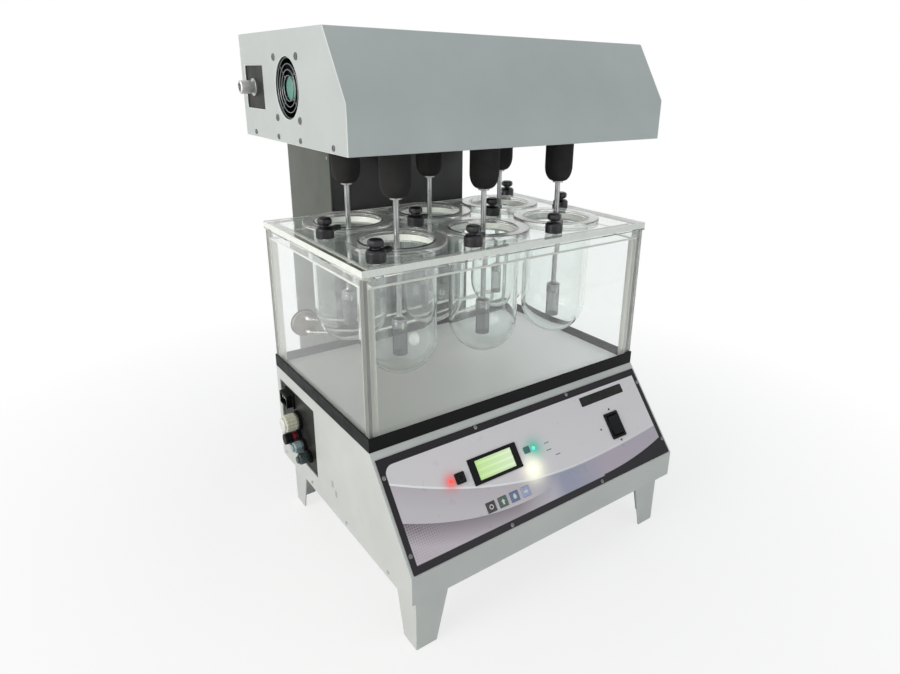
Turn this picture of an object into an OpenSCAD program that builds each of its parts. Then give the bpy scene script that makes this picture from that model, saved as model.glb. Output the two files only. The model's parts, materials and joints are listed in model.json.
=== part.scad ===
/* [Bath] */
// Width of the bath, left to right
bath_w = 510; // [480:1:600]
// Depth of the bath, front to back
bath_d = 334; // [325:1:400]
// Height of the closed bath, from its underside to the top of its lid
bath_h = 248; // [240:1:300]
// Thickness of the clear tank's walls and floor
tank_wall = 8; // [5:0.5:10]
// Thickness of the clear lid
lid_t = 12; // [8:0.5:15]
// Height of the strips under the lid that locate it in the tank
strip_h = 15; // [6:1:20]
// Height of the black trim round the tank's foot
trim_h = 21; // [10:1:30]
// Thickness of the trim
trim_t = 2; // [1:0.5:3]

/* [Vessels] */
// Distance between neighbouring vessels, both ways
vessel_pitch = 150; // [146:1:158]
// How far the two rows stand behind the middle of the bath
row_shift = 7; // [0:1:10]
// Inside radius of a vessel
vessel_r = 51; // [49:0.5:53]
// Thickness of the vessel glass
glass_t = 2.5; // [1.5:0.5:3]
// Depth of a vessel, from the top of its flange to the bottom of its bowl
vessel_depth = 196; // [180:1:205]
// Radius of a vessel's flange
flange_r = 70; // [66:1:72]
// Thickness of a vessel's flange
flange_t = 6; // [4:0.5:8]

/* [Vessel clamps] */
// Offset of a clamp from its vessel's centre, both ways
clamp_offset = 70; // [66:1:74]
// Radius of a clamp's body
clamp_r = 13; // [10:0.5:14]
// Height of a clamp's body
clamp_body_h = 16; // [15:1:24]
// Radius of a clamp's knob
clamp_knob_r = 10.5; // [7:0.5:11]
// Height of a clamp's knob
clamp_knob_h = 10.5; // [8:0.5:16]
// Reach of a clamp's toe from its axis
toe_reach = 36; // [34:1:40]
// Direction of a clamp's toe when it holds its vessel
toe_a = 30; // [20:1:45]

/* [Spindles] */
// Radius of the black sleeve round a spindle's chuck
chuck_r = 22; // [18:0.5:26]
// Length of the sleeve below the head
chuck_drop = 69; // [50:1:80]
// How far the sleeve's nose draws in
chuck_edge = 13; // [6:0.5:13]
// Height of the sleeve's rounded nose
chuck_nose_h = 23; // [10:1:30]
// Radius of a basket shaft
shaft_r = 4; // [3.8:0.05:5]
// Radius of a shaft's collar under its sleeve
collar_r = 8.5; // [6.5:0.5:9]
// Radius of a wire basket
basket_r = 11; // [10:0.1:12.5]
// Height of a wire basket
basket_h = 44; // [36:1:50]
// Height of the carrier that holds a basket
carrier_h = 14; // [8:1:20]
// Gap from the bottom of a basket to the bottom of its vessel
basket_gap = 25; // [20:1:35]

/* [Base] */
// Height of the legs
leg_h = 93; // [60:1:110]
// Height of the upright band along the front edge
nose_h = 43; // [30:0.5:60]
// Depth of the base in front of the bath
nose_d = 103; // [90:1:130]
// Height of the sloping front panel
slope_drop = 127.5; // [120:0.5:140]
// Thickness of the folded sheet
sheet = 2; // [1.5:0.1:3]
// Width of a leg at its top
leg_w = 55; // [40:1:80]
// Width of a leg at its foot
leg_foot_w = 33; // [20:1:40]
// Thickness of a leg
leg_t = 2.5; // [2:0.5:4]
// Step from the cabinet's corner in to a leg
leg_inset = 13; // [8:0.5:16]

/* [Control panel] */
// Width of the front panel plate
panel_w = 502; // [470:1:508]
// Distance of the plate's upper edge from the top of the slope
panel_top = 11; // [6:0.5:14]
// Distance of the plate's lower edge from the foot of the slope
panel_foot = 2; // [1:0.5:8]
// Thickness of the plate
panel_t = 1.6; // [1:0.1:3]
// Width of the display frame
display_w = 86; // [70:1:100]
// Height of the display frame
display_h = 37; // [30:1:44]
// Middle of the display, from the middle of the panel
display_x = -80; // [-110:1:-70]
// Middle of the display, down the slope
display_s = 72; // [60:1:78]
// Width of a push button
button_w = 15; // [12:0.5:16]
// Height of a push button
button_l = 14; // [10:0.5:15]
// Distance between push buttons
button_pitch = 21; // [20:0.5:22]
// Row of push buttons, down the slope
button_s = 124; // [120:1:128]
// Travel of a push button
button_travel = 0.5; // [0.3:0.1:0.6]
// Middle of the lift switch, from the middle of the panel
switch_x = 161; // [120:1:200]
// Middle of the lift switch, down the slope
switch_s = 87; // [70:1:100]
// Width of the lift switch's frame
switch_w = 30.5; // [26:0.5:36]
// Height of the lift switch's frame
switch_h = 42.5; // [38:0.5:50]

/* [Column and lift] */
// Width of the rear column
column_w = 270; // [230:1:320]
// Depth of the rear column
column_d = 180; // [160:1:200]
// Gap between the bath and the column
column_gap = 8; // [5:1:15]
// How far the column reaches up behind the head
column_over = 14; // [8:1:20]
// Travel of the lift
lift_travel = 180; // [150:1:190]
// Radius of a guide rod
rod_r = 8; // [6:0.5:10]
// Distance of a guide rod from the middle
rod_x = 80; // [70:1:100]
// Radius of the lift's push rod
push_r = 10; // [8:0.5:12]

/* [Drive head] */
// Width of the head
head_w = 530; // [500:1:620]
// Depth of the head
head_d = 336; // [325:1:380]
// Height of the head
head_h = 138; // [132:1:160]
// Height of the upright part of its front
head_front_h = 57; // [40:1:70]
// Depth of the sloping part of its front
head_slope_d = 51; // [30:1:60]
// Gap from the lid up to the head
head_gap = 132; // [120:1:150]
// Width of the fan's frame
fan_w = 80; // [70:1:80]
// Distance of the fan from the bath's front
fan_y = 168; // [150:1:180]
// Height of the fan above the head's lower edge
fan_z = 69; // [60:1:74]
// Width of the opening for the side connector
conn_w = 71; // [50:1:80]
// Height of the opening for the side connector
conn_h = 57; // [40:1:64]
// Reach of the side connector out of the head
conn_reach = 20; // [15:1:40]

/* [Fits] */
// Play between pieces that are screwed or set together
play = 0.3; // [0.2:0.05:0.5]
// Radial play of a turning or sliding fit
run = 0.05; // [0.02:0.01:0.1]

/* [Hidden] */

// Heights above the bench
base_top = leg_h + nose_h + slope_drop;
lid_top = base_top + bath_h;
lid_under = lid_top - lid_t;
flange_top = lid_top + flange_t;
vessel_foot = flange_top - vessel_depth;
head_z = lid_top + head_gap;
head_top = head_z + head_h;
column_top = head_z + column_over;
basket_z = vessel_foot + basket_gap;
carrier_z = basket_z + basket_h;
chuck_z = head_z - chuck_drop;

// Places across and along, from the middle of the bath and from its front edge
half_bath = bath_w / 2;
half_head = head_w / 2;
half_column = column_w / 2;
column_y = bath_d + column_gap;
column_back = column_y + column_d;
column_front_t = 3;
column_in_y = column_y + column_front_t;
rod_y = column_y + column_d / 2;
head_back = column_y - 5;
head_y = head_back - head_d;
row_y = bath_d / 2 + row_shift;
spindle_xy = [for (j = [0, 1], i = [-1, 0, 1]) [i * vessel_pitch, row_y + (j - 0.5) * vessel_pitch]];

// The object's own box is centred on the origin
x_off = conn_reach / 2;
y_off = (nose_d - column_back) / 2;

// The sloping front
slope_len = sqrt(nose_d * nose_d + slope_drop * slope_drop);
slope_a = atan2(slope_drop, nose_d);
panel_lo = -(slope_len - panel_foot);
panel_hi = -panel_top;
screw_r = 1.5;
screw_xy = [for (s = [-1, 1]) each [
    [s * (panel_w / 2 - 3.5), panel_hi - 25],
    [s * (panel_w / 2 - 3.5), panel_lo + 24],
    [s * panel_w * 0.18, panel_hi - 3.5],
    [s * panel_w * 0.18, panel_lo + 4]]];
button_x = [for (i = [0 : 3]) display_x + (i - 1.5) * button_pitch];
button_rim = 1.8;
button_proud = 0.8;
keypad_w = 3 * button_pitch + button_w + 2 * button_rim + 2;
keypad_h = button_l + 2 * button_rim + 2;
board_z = -sheet - 4;
board_t = 1.6;
board_edge = 6;
window_w = display_w - 21;
window_h = display_h - 9;
display_proud = 1.5;
switch_in_w = switch_w - 4.5;
switch_in_h = switch_h - 4.5;
switch_proud = 2;
switch_deep = 20;
rocker_w = switch_in_w - 5;
rocker_r = switch_in_h / 2 - 2;
rocker_pivot = -3;
rocker_deep = 6;
rocker_lift = 2.4;
rocker_pin_r = 1.5;

// The side opening of the base, with its dark plate
side_y0 = 183;
side_y1 = bath_d - 13;
side_z0 = leg_h + 31;
side_z1 = base_top - 20;
side_lap = 6;
side_plate_t = 3;
side_x = -half_bath + sheet;
// The inlet from the opening's back and top edges, then each fitting likewise with its radius and reach
inlet_back = 36;
inlet_down = 21;
side_fits = [[70, 47, 14.5, 26], [66, 77, 9, 26], [88, 84, 9, 20], [108, 95, 9, 20]];
side_nut = 2;

// Heater in the bath
heater_side = 56;
heater_up = 70;
heater_x = -half_bath + heater_side;
heater_z = base_top + heater_up;
heater_r = 4;
heater_elbow_r = heater_r * 1.5;
heater_sleeve_r = heater_r * 1.4;
heater_step = 11.5;
heater_y = bath_d - 29;
heater_drop = 21;
heater_run_in = 84;
heater_short = 14;
heater_far_x = -heater_x - heater_short;
heater_boss_r = 22;
heater_stud_r = 8;
tank_in_y = bath_d - trim_t - tank_wall;

// Spindle drive inside the head
floor_z = head_z + 6;
floor_t = 3;
bearing_h = 20;
bearing_r = 16;
spindle_r = 10;
pulley_z = floor_z + floor_t + bearing_h + 6;
pulley_h = 14;
pulley_rim = 2;
belt_r = 20;
belt_t = 2.5;
belt_h = 12;
belt_gap = 0.3;
spindle_top = pulley_z + pulley_h + pulley_rim + 6;
shaft_top = head_z - 9;
motor_belt_r = 12;
motor_x = vessel_pitch / 2;
motor_y = row_y + vessel_pitch / 2 + belt_r - motor_belt_r;
motor_z = pulley_z + pulley_h + 15;
motor_r = 30;
motor_h = 56;
motor_post = 34;
motor_shaft_r = 4;

// Fan and connector on the head's left side
head_in_x = -half_head + sheet;
fan_cz = head_z + fan_z;
fan_t = 25;
fan_bore = fan_w / 2 - 2;
fan_pin_r = 2;
conn_y = bath_d - 47;
conn_up = 68;
conn_z = head_z + conn_up;
conn_r = 9;

// Lift inside the column
guide_t = 12;
guide_span = 200;
guide_low_z = column_top - guide_span - guide_t;
guide_boss_r = 15;
guide_boss_h = 12;
yoke_z = column_top + 4;
yoke_t = 12;
yoke_w = 2 * rod_x + 50;
yoke_lap = 96;
yoke_leaf = column_y - head_back + 3;
rod_foot = guide_low_z - lift_travel - 6;
tube_r = 18;
tube_over = 58;
tube_top = guide_low_z + guide_t + tube_over;
gear_z = leg_h + sheet;
gear_h = 40;
gear_half = 28;
gear_reach = 76;
gear_motor_x = 48;
gear_motor_r = 24;
gear_motor_h = 120;

// A block between two x, two y and two z values
module block(x, y, z) {
    translate([x[0], y[0], z[0]]) cube([x[1] - x[0], y[1] - y[0], z[1] - z[0]]);
}

// A round bar between two points
module bar(a, b, r) {
    d = b - a;
    translate(a) rotate([0, acos(d[2] / norm(d)), atan2(d[1], d[0])]) cylinder(r = r, h = norm(d), $fn = 32);
}

// A round bar along x
module bar_x(x, y, z, r) {
    bar([x[0], y, z], [x[1], y, z], r);
}

// An outline in y and z, drawn along x
module along_x(x) {
    translate([x[0], 0, 0]) rotate([90, 0, 90]) linear_extrude(x[1] - x[0]) children();
}

// A rectangle with round corners, drawn up from z = 0
module round_block(w, d, r, h) {
    cube_w = w - 2 * r;
    cube_d = d - 2 * r;
    linear_extrude(h) {
        square([cube_w, d], center = true);
        square([w, cube_d], center = true);
        for (sx = [-1, 1], sy = [-1, 1])
            translate([sx * cube_w / 2, sy * cube_d / 2]) circle(r = r, $fn = 48);
    }
}

// The whole object stands with its box centred on the origin
module place() {
    translate([x_off, y_off, 0]) children();
}

// On the sloping front: x across, y up the slope from its top edge, z outwards
module on_slope() {
    translate([0, 0, base_top]) rotate([slope_a, 0, 0]) children();
}

// Outline of the base, drawn in by an inset
module base_outline(t) {
    top = base_top - t;
    back = bath_d - t;
    front = -nose_d + t;
    slope_top = -(base_top - top) * nose_d / slope_drop + t * slope_len / slope_drop;
    slope_low = base_top - (nose_d - t + t * slope_len / slope_drop) * slope_drop / nose_d;
    polygon([[slope_top, top], [front, slope_low], [front, leg_h - (t > 0 ? 1 : 0)],
        [back, leg_h - (t > 0 ? 1 : 0)], [back, top]]);
}

// Openings that the slope's sheet and its panel plate share
module panel_openings(gap, deep) {
    translate([display_x, -display_s, -deep])
        linear_extrude(2 * deep) square([display_w + 2 * gap, display_h + 2 * gap], center = true);
    translate([switch_x, -switch_s, -deep])
        linear_extrude(2 * deep) square([switch_in_w + 2 * gap, switch_in_h + 2 * gap], center = true);
    for (p = screw_xy)
        translate([p[0], p[1], -deep]) cylinder(r = screw_r + play / 2, h = 2 * deep, $fn = 24);
}

module base_cabinet() {
    color("#c3cac2") place() {
        difference() {
            along_x([-half_bath, half_bath]) base_outline(0);
            along_x([-half_bath + sheet, half_bath - sheet]) base_outline(sheet);
            on_slope() {
                panel_openings(play, 8);
                translate([display_x, -button_s, -8])
                    linear_extrude(16) square([keypad_w, keypad_h], center = true);
            }
            block([-half_bath - 1, side_x + 1], [side_y0, side_y1], [side_z0, side_z1]);
        }
        for (s = [-1, 1])
            block([s * (half_column - 25) - 10, s * (half_column - 25) + 10],
                [bath_d - sheet, column_y], [leg_h + 10, base_top - 10]);
    }
}

module base_floor() {
    color("#b9c0b8") place()
        block([-half_bath + sheet, half_bath - sheet], [-nose_d + sheet, bath_d - sheet],
            [leg_h, leg_h + sheet]);
}

// One bent leg, with its corner at the origin
module leg() {
    rotate([90, 0, 0]) mirror([0, 0, 1]) linear_extrude(leg_t)
        polygon([[0, 0], [leg_foot_w, 0], [leg_w, leg_h], [0, leg_h]]);
    along_x([0, leg_t])
        polygon([[0, 0], [leg_foot_w, 0], [leg_w, leg_h], [0, leg_h]]);
    block([0, leg_w - 6], [0, leg_w - 6], [leg_h - leg_t, leg_h]);
}

module legs() {
    color("#c3cac2") place()
        for (sx = [0, 1], sy = [0, 1])
            translate([(sx * 2 - 1) * (half_bath - leg_inset),
                sy * (bath_d - leg_inset) + (1 - sy) * (leg_inset - nose_d), 0])
                mirror([sx, 0, 0]) mirror([0, sy, 0]) leg();
}

module control_panel() {
    color("#cfc9cd") place() on_slope()
        difference() {
            block([-panel_w / 2, panel_w / 2], [panel_lo, panel_hi], [0, panel_t]);
            panel_openings(play, 8);
            for (x = button_x)
                translate([x, -button_s, -1]) linear_extrude(8)
                    square([button_w + 2 * play, button_l + 2 * play], center = true);
        }
}

module panel_screws() {
    color("silver") place() on_slope()
        for (p = screw_xy)
            translate([p[0], p[1], 0]) {
                translate([0, 0, -sheet - 3]) cylinder(r = screw_r, h = sheet + 3 + panel_t, $fn = 24);
                translate([0, 0, panel_t]) cylinder(r1 = 3.2, r2 = 2.2, h = 1.3, $fn = 32);
            }
}

module display_board() {
    board_w = display_w + 2 * board_edge;
    board_hi = -display_s + display_h / 2 + board_edge;
    board_lo = -button_s - keypad_h / 2 - board_edge;
    color("#20242a") place() on_slope() translate([display_x, 0, 0]) {
        difference() {
            translate([0, -display_s, board_z]) linear_extrude(panel_t + display_proud - board_z)
                square([display_w, display_h], center = true);
            translate([0, -display_s, panel_t - 1]) linear_extrude(10)
                square([window_w, window_h], center = true);
        }
        block([-board_w / 2, board_w / 2], [board_lo, board_hi], [board_z - board_t, board_z]);
        for (sx = [-1, 1], y = [board_hi - 3, board_lo + 3])
            translate([sx * (board_w / 2 - 3), y, board_z - 0.1])
                cylinder(r = 2.5, h = -sheet - board_z + 0.1, $fn = 24);
        for (x = button_x)
            translate([x - display_x, -button_s, board_z - 0.1])
                cylinder(r = 1.75, h = -board_z - button_rim - button_travel + 0.05, $fn = 24);
    }
}

module button(i) {
    color("#3d4a55") place() on_slope() translate([button_x[i], -button_s, 0]) {
        translate([0, 0, -0.2]) linear_extrude(panel_t + button_proud + 0.2)
            square([button_w, button_l], center = true);
        translate([0, 0, -button_rim + 0.1]) linear_extrude(button_rim - 0.2)
            square([button_w + 2 * button_rim, button_l + 2 * button_rim], center = true);
    }
}

module button_1() { button(0); }
module button_2() { button(1); }
module button_3() { button(2); }
module button_4() { button(3); }

module switch_frame() {
    color("#17181a") place() on_slope() translate([switch_x, -switch_s, 0])
        difference() {
            union() {
                translate([0, 0, panel_t]) round_block(switch_w, switch_h, 2, switch_proud);
                translate([0, 0, -switch_deep]) linear_extrude(switch_deep + panel_t + 0.5)
                    square([switch_in_w, switch_in_h], center = true);
            }
            translate([0, 0, -switch_deep + 2]) linear_extrude(40)
                square([rocker_w + 2 * play, 2 * (rocker_r + play)], center = true);
            bar_x([-rocker_w / 2 - 2, rocker_w / 2 + 2], 0, rocker_pivot, rocker_pin_r + run);
        }
}

module lift_switch() {
    rise = panel_t + switch_proud - rocker_pivot;
    color("#1d1e20") place() on_slope() translate([switch_x, -switch_s, rocker_pivot]) {
        intersection() {
            along_x([-rocker_w / 2, rocker_w / 2])
                polygon([[-rocker_r, -rocker_deep], [rocker_r, -rocker_deep], [rocker_r, rise + rocker_lift],
                    [0, rise], [-rocker_r, rise + rocker_lift]]);
            bar_x([-rocker_w, rocker_w], 0, 0, rocker_r);
        }
        bar_x([-rocker_w / 2 - 1.8, rocker_w / 2 + 1.8], 0, 0, rocker_pin_r);
    }
}

module side_plate() {
    color("#3a3b3a") place()
        block([side_x, side_x + side_plate_t], [side_y0 - side_lap, side_y1 + side_lap],
            [side_z0 - side_lap, side_z1 + side_lap]);
}

// A socket with a deep well and three flat blades
module mains_inlet() {
    inlet_y = side_y1 - inlet_back;
    inlet_z = side_z1 - inlet_down;
    color("#101112") place() {
        difference() {
            union() {
                block([side_x - 3, side_x], [inlet_y - 20, inlet_y + 20], [inlet_z - 13, inlet_z + 13]);
                block([side_x - 12, side_x], [inlet_y - 15, inlet_y + 15], [inlet_z - 11, inlet_z + 11]);
            }
            block([side_x - 20, side_x - 2], [inlet_y - 12, inlet_y + 12], [inlet_z - 8, inlet_z + 8]);
        }
        for (y = [inlet_y - 7, inlet_y, inlet_y + 7])
            block([side_x - 10, side_x - 2], [y - 1, y + 1], [inlet_z + 1, inlet_z + 5]);
    }
}

// A capped round fitting on the dark side plate
module side_fitting(y, z, r, reach) {
    bar_x([side_x - 6, side_x], y, z, r + side_nut);
    bar_x([side_x - reach, side_x - 5], y, z, r);
    bar_x([side_x - reach - 3, side_x - reach + 1], y, z, r - 3);
}

module side_fittings() {
    color("#c9c8bb") place()
        for (f = side_fits) side_fitting(side_y1 - f[0], side_z1 - f[1], f[2], f[3]);
}

module tank() {
    out_x = half_bath - trim_t;
    color("#dfeaf0", 0.3) place()
        difference() {
            block([-out_x, out_x], [trim_t, bath_d - trim_t], [base_top, lid_under]);
            block([-out_x + tank_wall, out_x - tank_wall], [trim_t + tank_wall, tank_in_y],
                [base_top + tank_wall, lid_top]);
            bar([heater_x, tank_in_y - 5, heater_z], [heater_x, bath_d + 5, heater_z],
                heater_stud_r + play / 2);
        }
}

module tank_trim() {
    color("#1b1c1e") place()
        difference() {
            block([-half_bath, half_bath], [0, bath_d], [base_top, base_top + trim_h]);
            block([-half_bath + trim_t, half_bath - trim_t], [trim_t, bath_d - trim_t],
                [base_top - 1, base_top + trim_h + 1]);
        }
}

module tank_lid() {
    in_x = half_bath - trim_t - tank_wall - play;
    in_y0 = trim_t + tank_wall + play;
    in_y1 = tank_in_y - play;
    strip_t = 8;
    color("#e4eef2", 0.35) place() {
        difference() {
            block([-half_bath, half_bath], [0, bath_d], [lid_under, lid_top]);
            for (p = spindle_xy)
                translate([p[0], p[1], lid_under - 1])
                    cylinder(r = vessel_r + glass_t + 1, h = lid_t + 2, $fn = 96);
            for (i = [0 : 7])
                translate([clamp_x(i), clamp_y(i), lid_under - 1])
                    cylinder(r = clamp_stud_r + run, h = lid_t + 2, $fn = 32);
        }
        difference() {
            block([-in_x, in_x], [in_y0, in_y1], [lid_under - strip_h, lid_under]);
            block([-in_x + strip_t, in_x - strip_t], [in_y0 + strip_t, in_y1 - strip_t],
                [lid_under - strip_h - 1, lid_under + 1]);
        }
    }
}

// A heating tube that enters through the back wall, drops and runs along the bath below the vessels
module heater_leg(z) {
    pts = [[heater_x, tank_in_y - 4, z], [heater_x, heater_y, z],
        [heater_x + heater_run_in, heater_y, z - heater_drop],
        [heater_far_x, heater_y, z - heater_drop]];
    for (i = [0 : 2]) bar(pts[i], pts[i + 1], heater_r);
    translate(pts[1]) rotate([90, 0, 0]) sphere(r = heater_elbow_r, $fn = 32);
    bar(pts[2] - [4, 0, 0], pts[2] + [4, 0, 0], heater_sleeve_r);
    translate(pts[3]) sphere(r = heater_elbow_r, $fn = 32);
}

module heater_tube() {
    color("#b9bcbd") place() {
        heater_leg(heater_z + heater_step);
        heater_leg(heater_z - heater_step);
        bar([heater_far_x, heater_y, heater_z - heater_drop - heater_step],
            [heater_far_x, heater_y, heater_z - heater_drop + heater_step], heater_r);
        bar([heater_x, tank_in_y - 6, heater_z], [heater_x, tank_in_y, heater_z], heater_boss_r);
        bar([heater_x, tank_in_y - 1, heater_z], [heater_x, bath_d + 4, heater_z], heater_stud_r);
        bar([heater_x, bath_d - trim_t, heater_z], [heater_x, bath_d + 3, heater_z], heater_stud_r + 4);
    }
}

// A glass vessel with a round bowl, hung from the lid by its flange
module vessel() {
    bowl_z = vessel_foot + vessel_r;
    difference() {
        union() {
            translate([0, 0, bowl_z]) cylinder(r = vessel_r + glass_t, h = flange_top - bowl_z, $fn = 96);
            translate([0, 0, bowl_z]) sphere(r = vessel_r + glass_t, $fn = 96);
            translate([0, 0, lid_top]) cylinder(r = flange_r, h = flange_t, $fn = 96);
        }
        translate([0, 0, bowl_z]) cylinder(r = vessel_r, h = flange_top - bowl_z + 1, $fn = 96);
        translate([0, 0, bowl_z]) sphere(r = vessel_r, $fn = 96);
    }
}

module vessels() {
    color("#eef6f8", 0.3) place()
        for (p = spindle_xy) translate([p[0], p[1], 0]) vessel();
}

// Six clamps stand at the front left of their vessels and two more behind the right-hand pair
clamp_stud_r = 4;
toe_w = 10;
toe_t = 6;
function clamp_side(i) = i < 6 ? -1 : 1;
function clamp_vessel(i) = i < 6 ? i : (i == 6 ? 2 : 5);
function clamp_x(i) = spindle_xy[clamp_vessel(i)][0] + clamp_side(i) * clamp_offset;
function clamp_y(i) = spindle_xy[clamp_vessel(i)][1] + clamp_side(i) * clamp_offset * (i < 6 ? 1 : 0.9);

module clamp(i) {
    neck_h = 2.5;
    knob_z = clamp_body_h + neck_h;
    color("#141516") place() translate([clamp_x(i), clamp_y(i), lid_top])
        rotate([0, 0, i < 6 ? toe_a : 180 + toe_a]) {
            translate([0, 0, -lid_t + 2]) cylinder(r = clamp_stud_r, h = lid_t, $fn = 32);
            cylinder(r = clamp_r, h = clamp_body_h - 3, $fn = 48);
            translate([0, 0, clamp_body_h - 3]) cylinder(r1 = clamp_r, r2 = clamp_r - 3, h = 3, $fn = 48);
            translate([0, 0, clamp_body_h]) cylinder(r = 5, h = neck_h, $fn = 32);
            translate([0, 0, knob_z]) cylinder(r1 = clamp_knob_r - 2, r2 = clamp_knob_r, h = 2, $fn = 48);
            translate([0, 0, knob_z + 2]) cylinder(r = clamp_knob_r, h = clamp_knob_h - 4, $fn = 48);
            translate([0, 0, knob_z + clamp_knob_h - 2])
                cylinder(r1 = clamp_knob_r, r2 = clamp_knob_r - 2, h = 2, $fn = 48);
            translate([0, 0, flange_t + play]) {
                block([0, toe_reach - toe_w / 2], [-toe_w / 2, toe_w / 2], [0, toe_t]);
                translate([toe_reach - toe_w / 2, 0, 0]) cylinder(r = toe_w / 2, h = toe_t, $fn = 32);
            }
        }
}

module clamp_1() { clamp(0); }
module clamp_2() { clamp(1); }
module clamp_3() { clamp(2); }
module clamp_4() { clamp(3); }
module clamp_5() { clamp(4); }
module clamp_6() { clamp(5); }
module clamp_7() { clamp(6); }
module clamp_8() { clamp(7); }

module column_housing() {
    color("#aab2a6") place() {
        for (s = [-1, 1])
            block([s * half_column - (s + 1) / 2 * sheet, s * half_column - (s - 1) / 2 * sheet],
                [column_y, column_back], [leg_h, column_top]);
        block([-half_column, half_column], [column_back - sheet, column_back], [leg_h, column_top]);
        block([-half_column, half_column], [column_in_y, column_back], [leg_h, leg_h + sheet]);
    }
}

module column_front() {
    color("#202123") place()
        block([-half_column + sheet, half_column - sheet], [column_y, column_in_y], [leg_h, column_top]);
}

// A cross plate with a bush for each guide rod
module guide_plate(z, centre_r) {
    in_x = half_column - sheet;
    difference() {
        union() {
            block([-in_x, in_x], [column_in_y, column_back - sheet], [z, z + guide_t]);
            for (s = [-1, 1])
                translate([s * rod_x, rod_y, z - guide_boss_h])
                    cylinder(r = guide_boss_r, h = guide_boss_h + 1, $fn = 48);
        }
        for (s = [-1, 1])
            translate([s * rod_x, rod_y, z - guide_boss_h - 1])
                cylinder(r = rod_r + run, h = guide_boss_h + guide_t + 2, $fn = 48);
        translate([0, rod_y, z - 1]) cylinder(r = centre_r, h = guide_t + 2, $fn = 48);
    }
}

module rod_guides() {
    color("#9a9ea0") place() {
        guide_plate(column_top - guide_t, push_r + 1);
        guide_plate(guide_low_z, tube_r + play / 2);
    }
}

module lift_actuator() {
    gear_top = gear_z + gear_h;
    color("#2b2d30") place() translate([0, rod_y, 0])
        difference() {
            union() {
                block([-gear_half, gear_reach], [-gear_half, gear_half], [gear_z, gear_top]);
                translate([gear_motor_x, 0, gear_top]) cylinder(r = gear_motor_r, h = gear_motor_h, $fn = 48);
                translate([0, 0, gear_top]) cylinder(r = tube_r, h = tube_top - gear_top, $fn = 48);
            }
            translate([0, 0, rod_foot - 6]) cylinder(r = push_r + run, h = tube_top, $fn = 48);
        }
}

module lift_rods() {
    color("#d6d9db") place() translate([0, rod_y, 0]) {
        for (s = [-1, 1])
            translate([s * rod_x, 0, rod_foot]) cylinder(r = rod_r, h = yoke_z - rod_foot, $fn = 48);
        translate([0, 0, rod_foot]) cylinder(r = push_r, h = yoke_z - rod_foot, $fn = 48);
    }
}

// A cross plate on the rods' tops, with a leaf bolted to the head's back
module lift_yoke() {
    back = rod_y + guide_boss_r + 10;
    color("#8f9597") place() {
        block([-yoke_w / 2, yoke_w / 2], [head_back, back], [yoke_z, yoke_z + yoke_t]);
        block([-yoke_w / 2, yoke_w / 2], [head_back, head_back + yoke_leaf], [yoke_z, yoke_z + yoke_lap]);
        for (s = [-1, 1])
            along_x([s * (yoke_w / 2 - 4) - 4, s * (yoke_w / 2 - 4) + 4])
                polygon([[head_back, yoke_z], [back, yoke_z], [head_back + yoke_leaf, yoke_z + yoke_lap],
                    [head_back, yoke_z + yoke_lap]]);
    }
}

// Outline of the head's cover, drawn in by an inset
module head_outline(t) {
    rise = head_h - head_front_h;
    run_len = sqrt(rise * rise + head_slope_d * head_slope_d);
    front = head_y + t;
    top = head_top - t;
    low = head_z - (t > 0 ? 1 : 0);
    polygon([[front, low], [front, head_z + head_front_h + t * (rise - run_len) / head_slope_d],
        [head_y + (rise - t) * head_slope_d / rise + t * run_len / rise, top],
        [head_back - t, top], [head_back - t, low]]);
}

module head_cover() {
    color("#c6cdcb") place()
        difference() {
            along_x([-half_head, half_head]) head_outline(0);
            along_x([-half_head + sheet, half_head - sheet]) head_outline(sheet);
            bar_x([-half_head - 1, head_in_x + 1], fan_y, fan_cz, fan_bore);
            block([-half_head - 1, head_in_x + 1], [conn_y - conn_w / 2, conn_y + conn_w / 2],
                [conn_z - conn_h / 2, conn_z + conn_h / 2]);
        }
}

module head_floor() {
    color("#a9b0ae") place()
        difference() {
            union() {
                block([head_in_x, -head_in_x], [head_y + sheet, head_back - sheet],
                    [floor_z, floor_z + floor_t]);
                for (p = spindle_xy)
                    translate([p[0], p[1], floor_z])
                        cylinder(r = bearing_r, h = floor_t + bearing_h, $fn = 48);
            }
            for (p = spindle_xy)
                translate([p[0], p[1], floor_z - 1])
                    cylinder(r = spindle_r + run, h = floor_t + bearing_h + 2, $fn = 48);
        }
}

module fan_frame() {
    inner = head_in_x + fan_t;
    color("#1a1b1c") place() {
        difference() {
            block([head_in_x, inner], [fan_y - fan_w / 2, fan_y + fan_w / 2],
                [fan_cz - fan_w / 2, fan_cz + fan_w / 2]);
            bar_x([head_in_x - 1, inner + 1], fan_y, fan_cz, fan_bore);
        }
        bar_x([inner - 3, inner], fan_y, fan_cz, 17);
        bar_x([head_in_x + 6, inner - 1], fan_y, fan_cz, fan_pin_r);
        translate([0, fan_y, fan_cz])
            for (a = [45 : 90 : 315]) rotate([a, 0, 0])
                block([inner - 3, inner], [-2.5, 2.5], [14, fan_bore + 1]);
    }
}

module fan_rotor() {
    hub_0 = head_in_x + 4;
    hub_1 = head_in_x + fan_t - 4;
    color("#23262a") place()
        difference() {
            union() {
                bar_x([hub_0, hub_1], fan_y, fan_cz, 16);
                translate([(hub_0 + hub_1) / 2, fan_y, fan_cz])
                    for (a = [0 : 360 / 7 : 359]) rotate([a, 0, 0])
                        translate([0, 0, 12]) rotate([0, 0, 40])
                            block([-10, 10], [-0.8, 0.8], [0, fan_bore - 14]);
            }
            bar_x([hub_0 + 2, hub_1 + 1], fan_y, fan_cz, fan_pin_r + run);
        }
}

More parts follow.
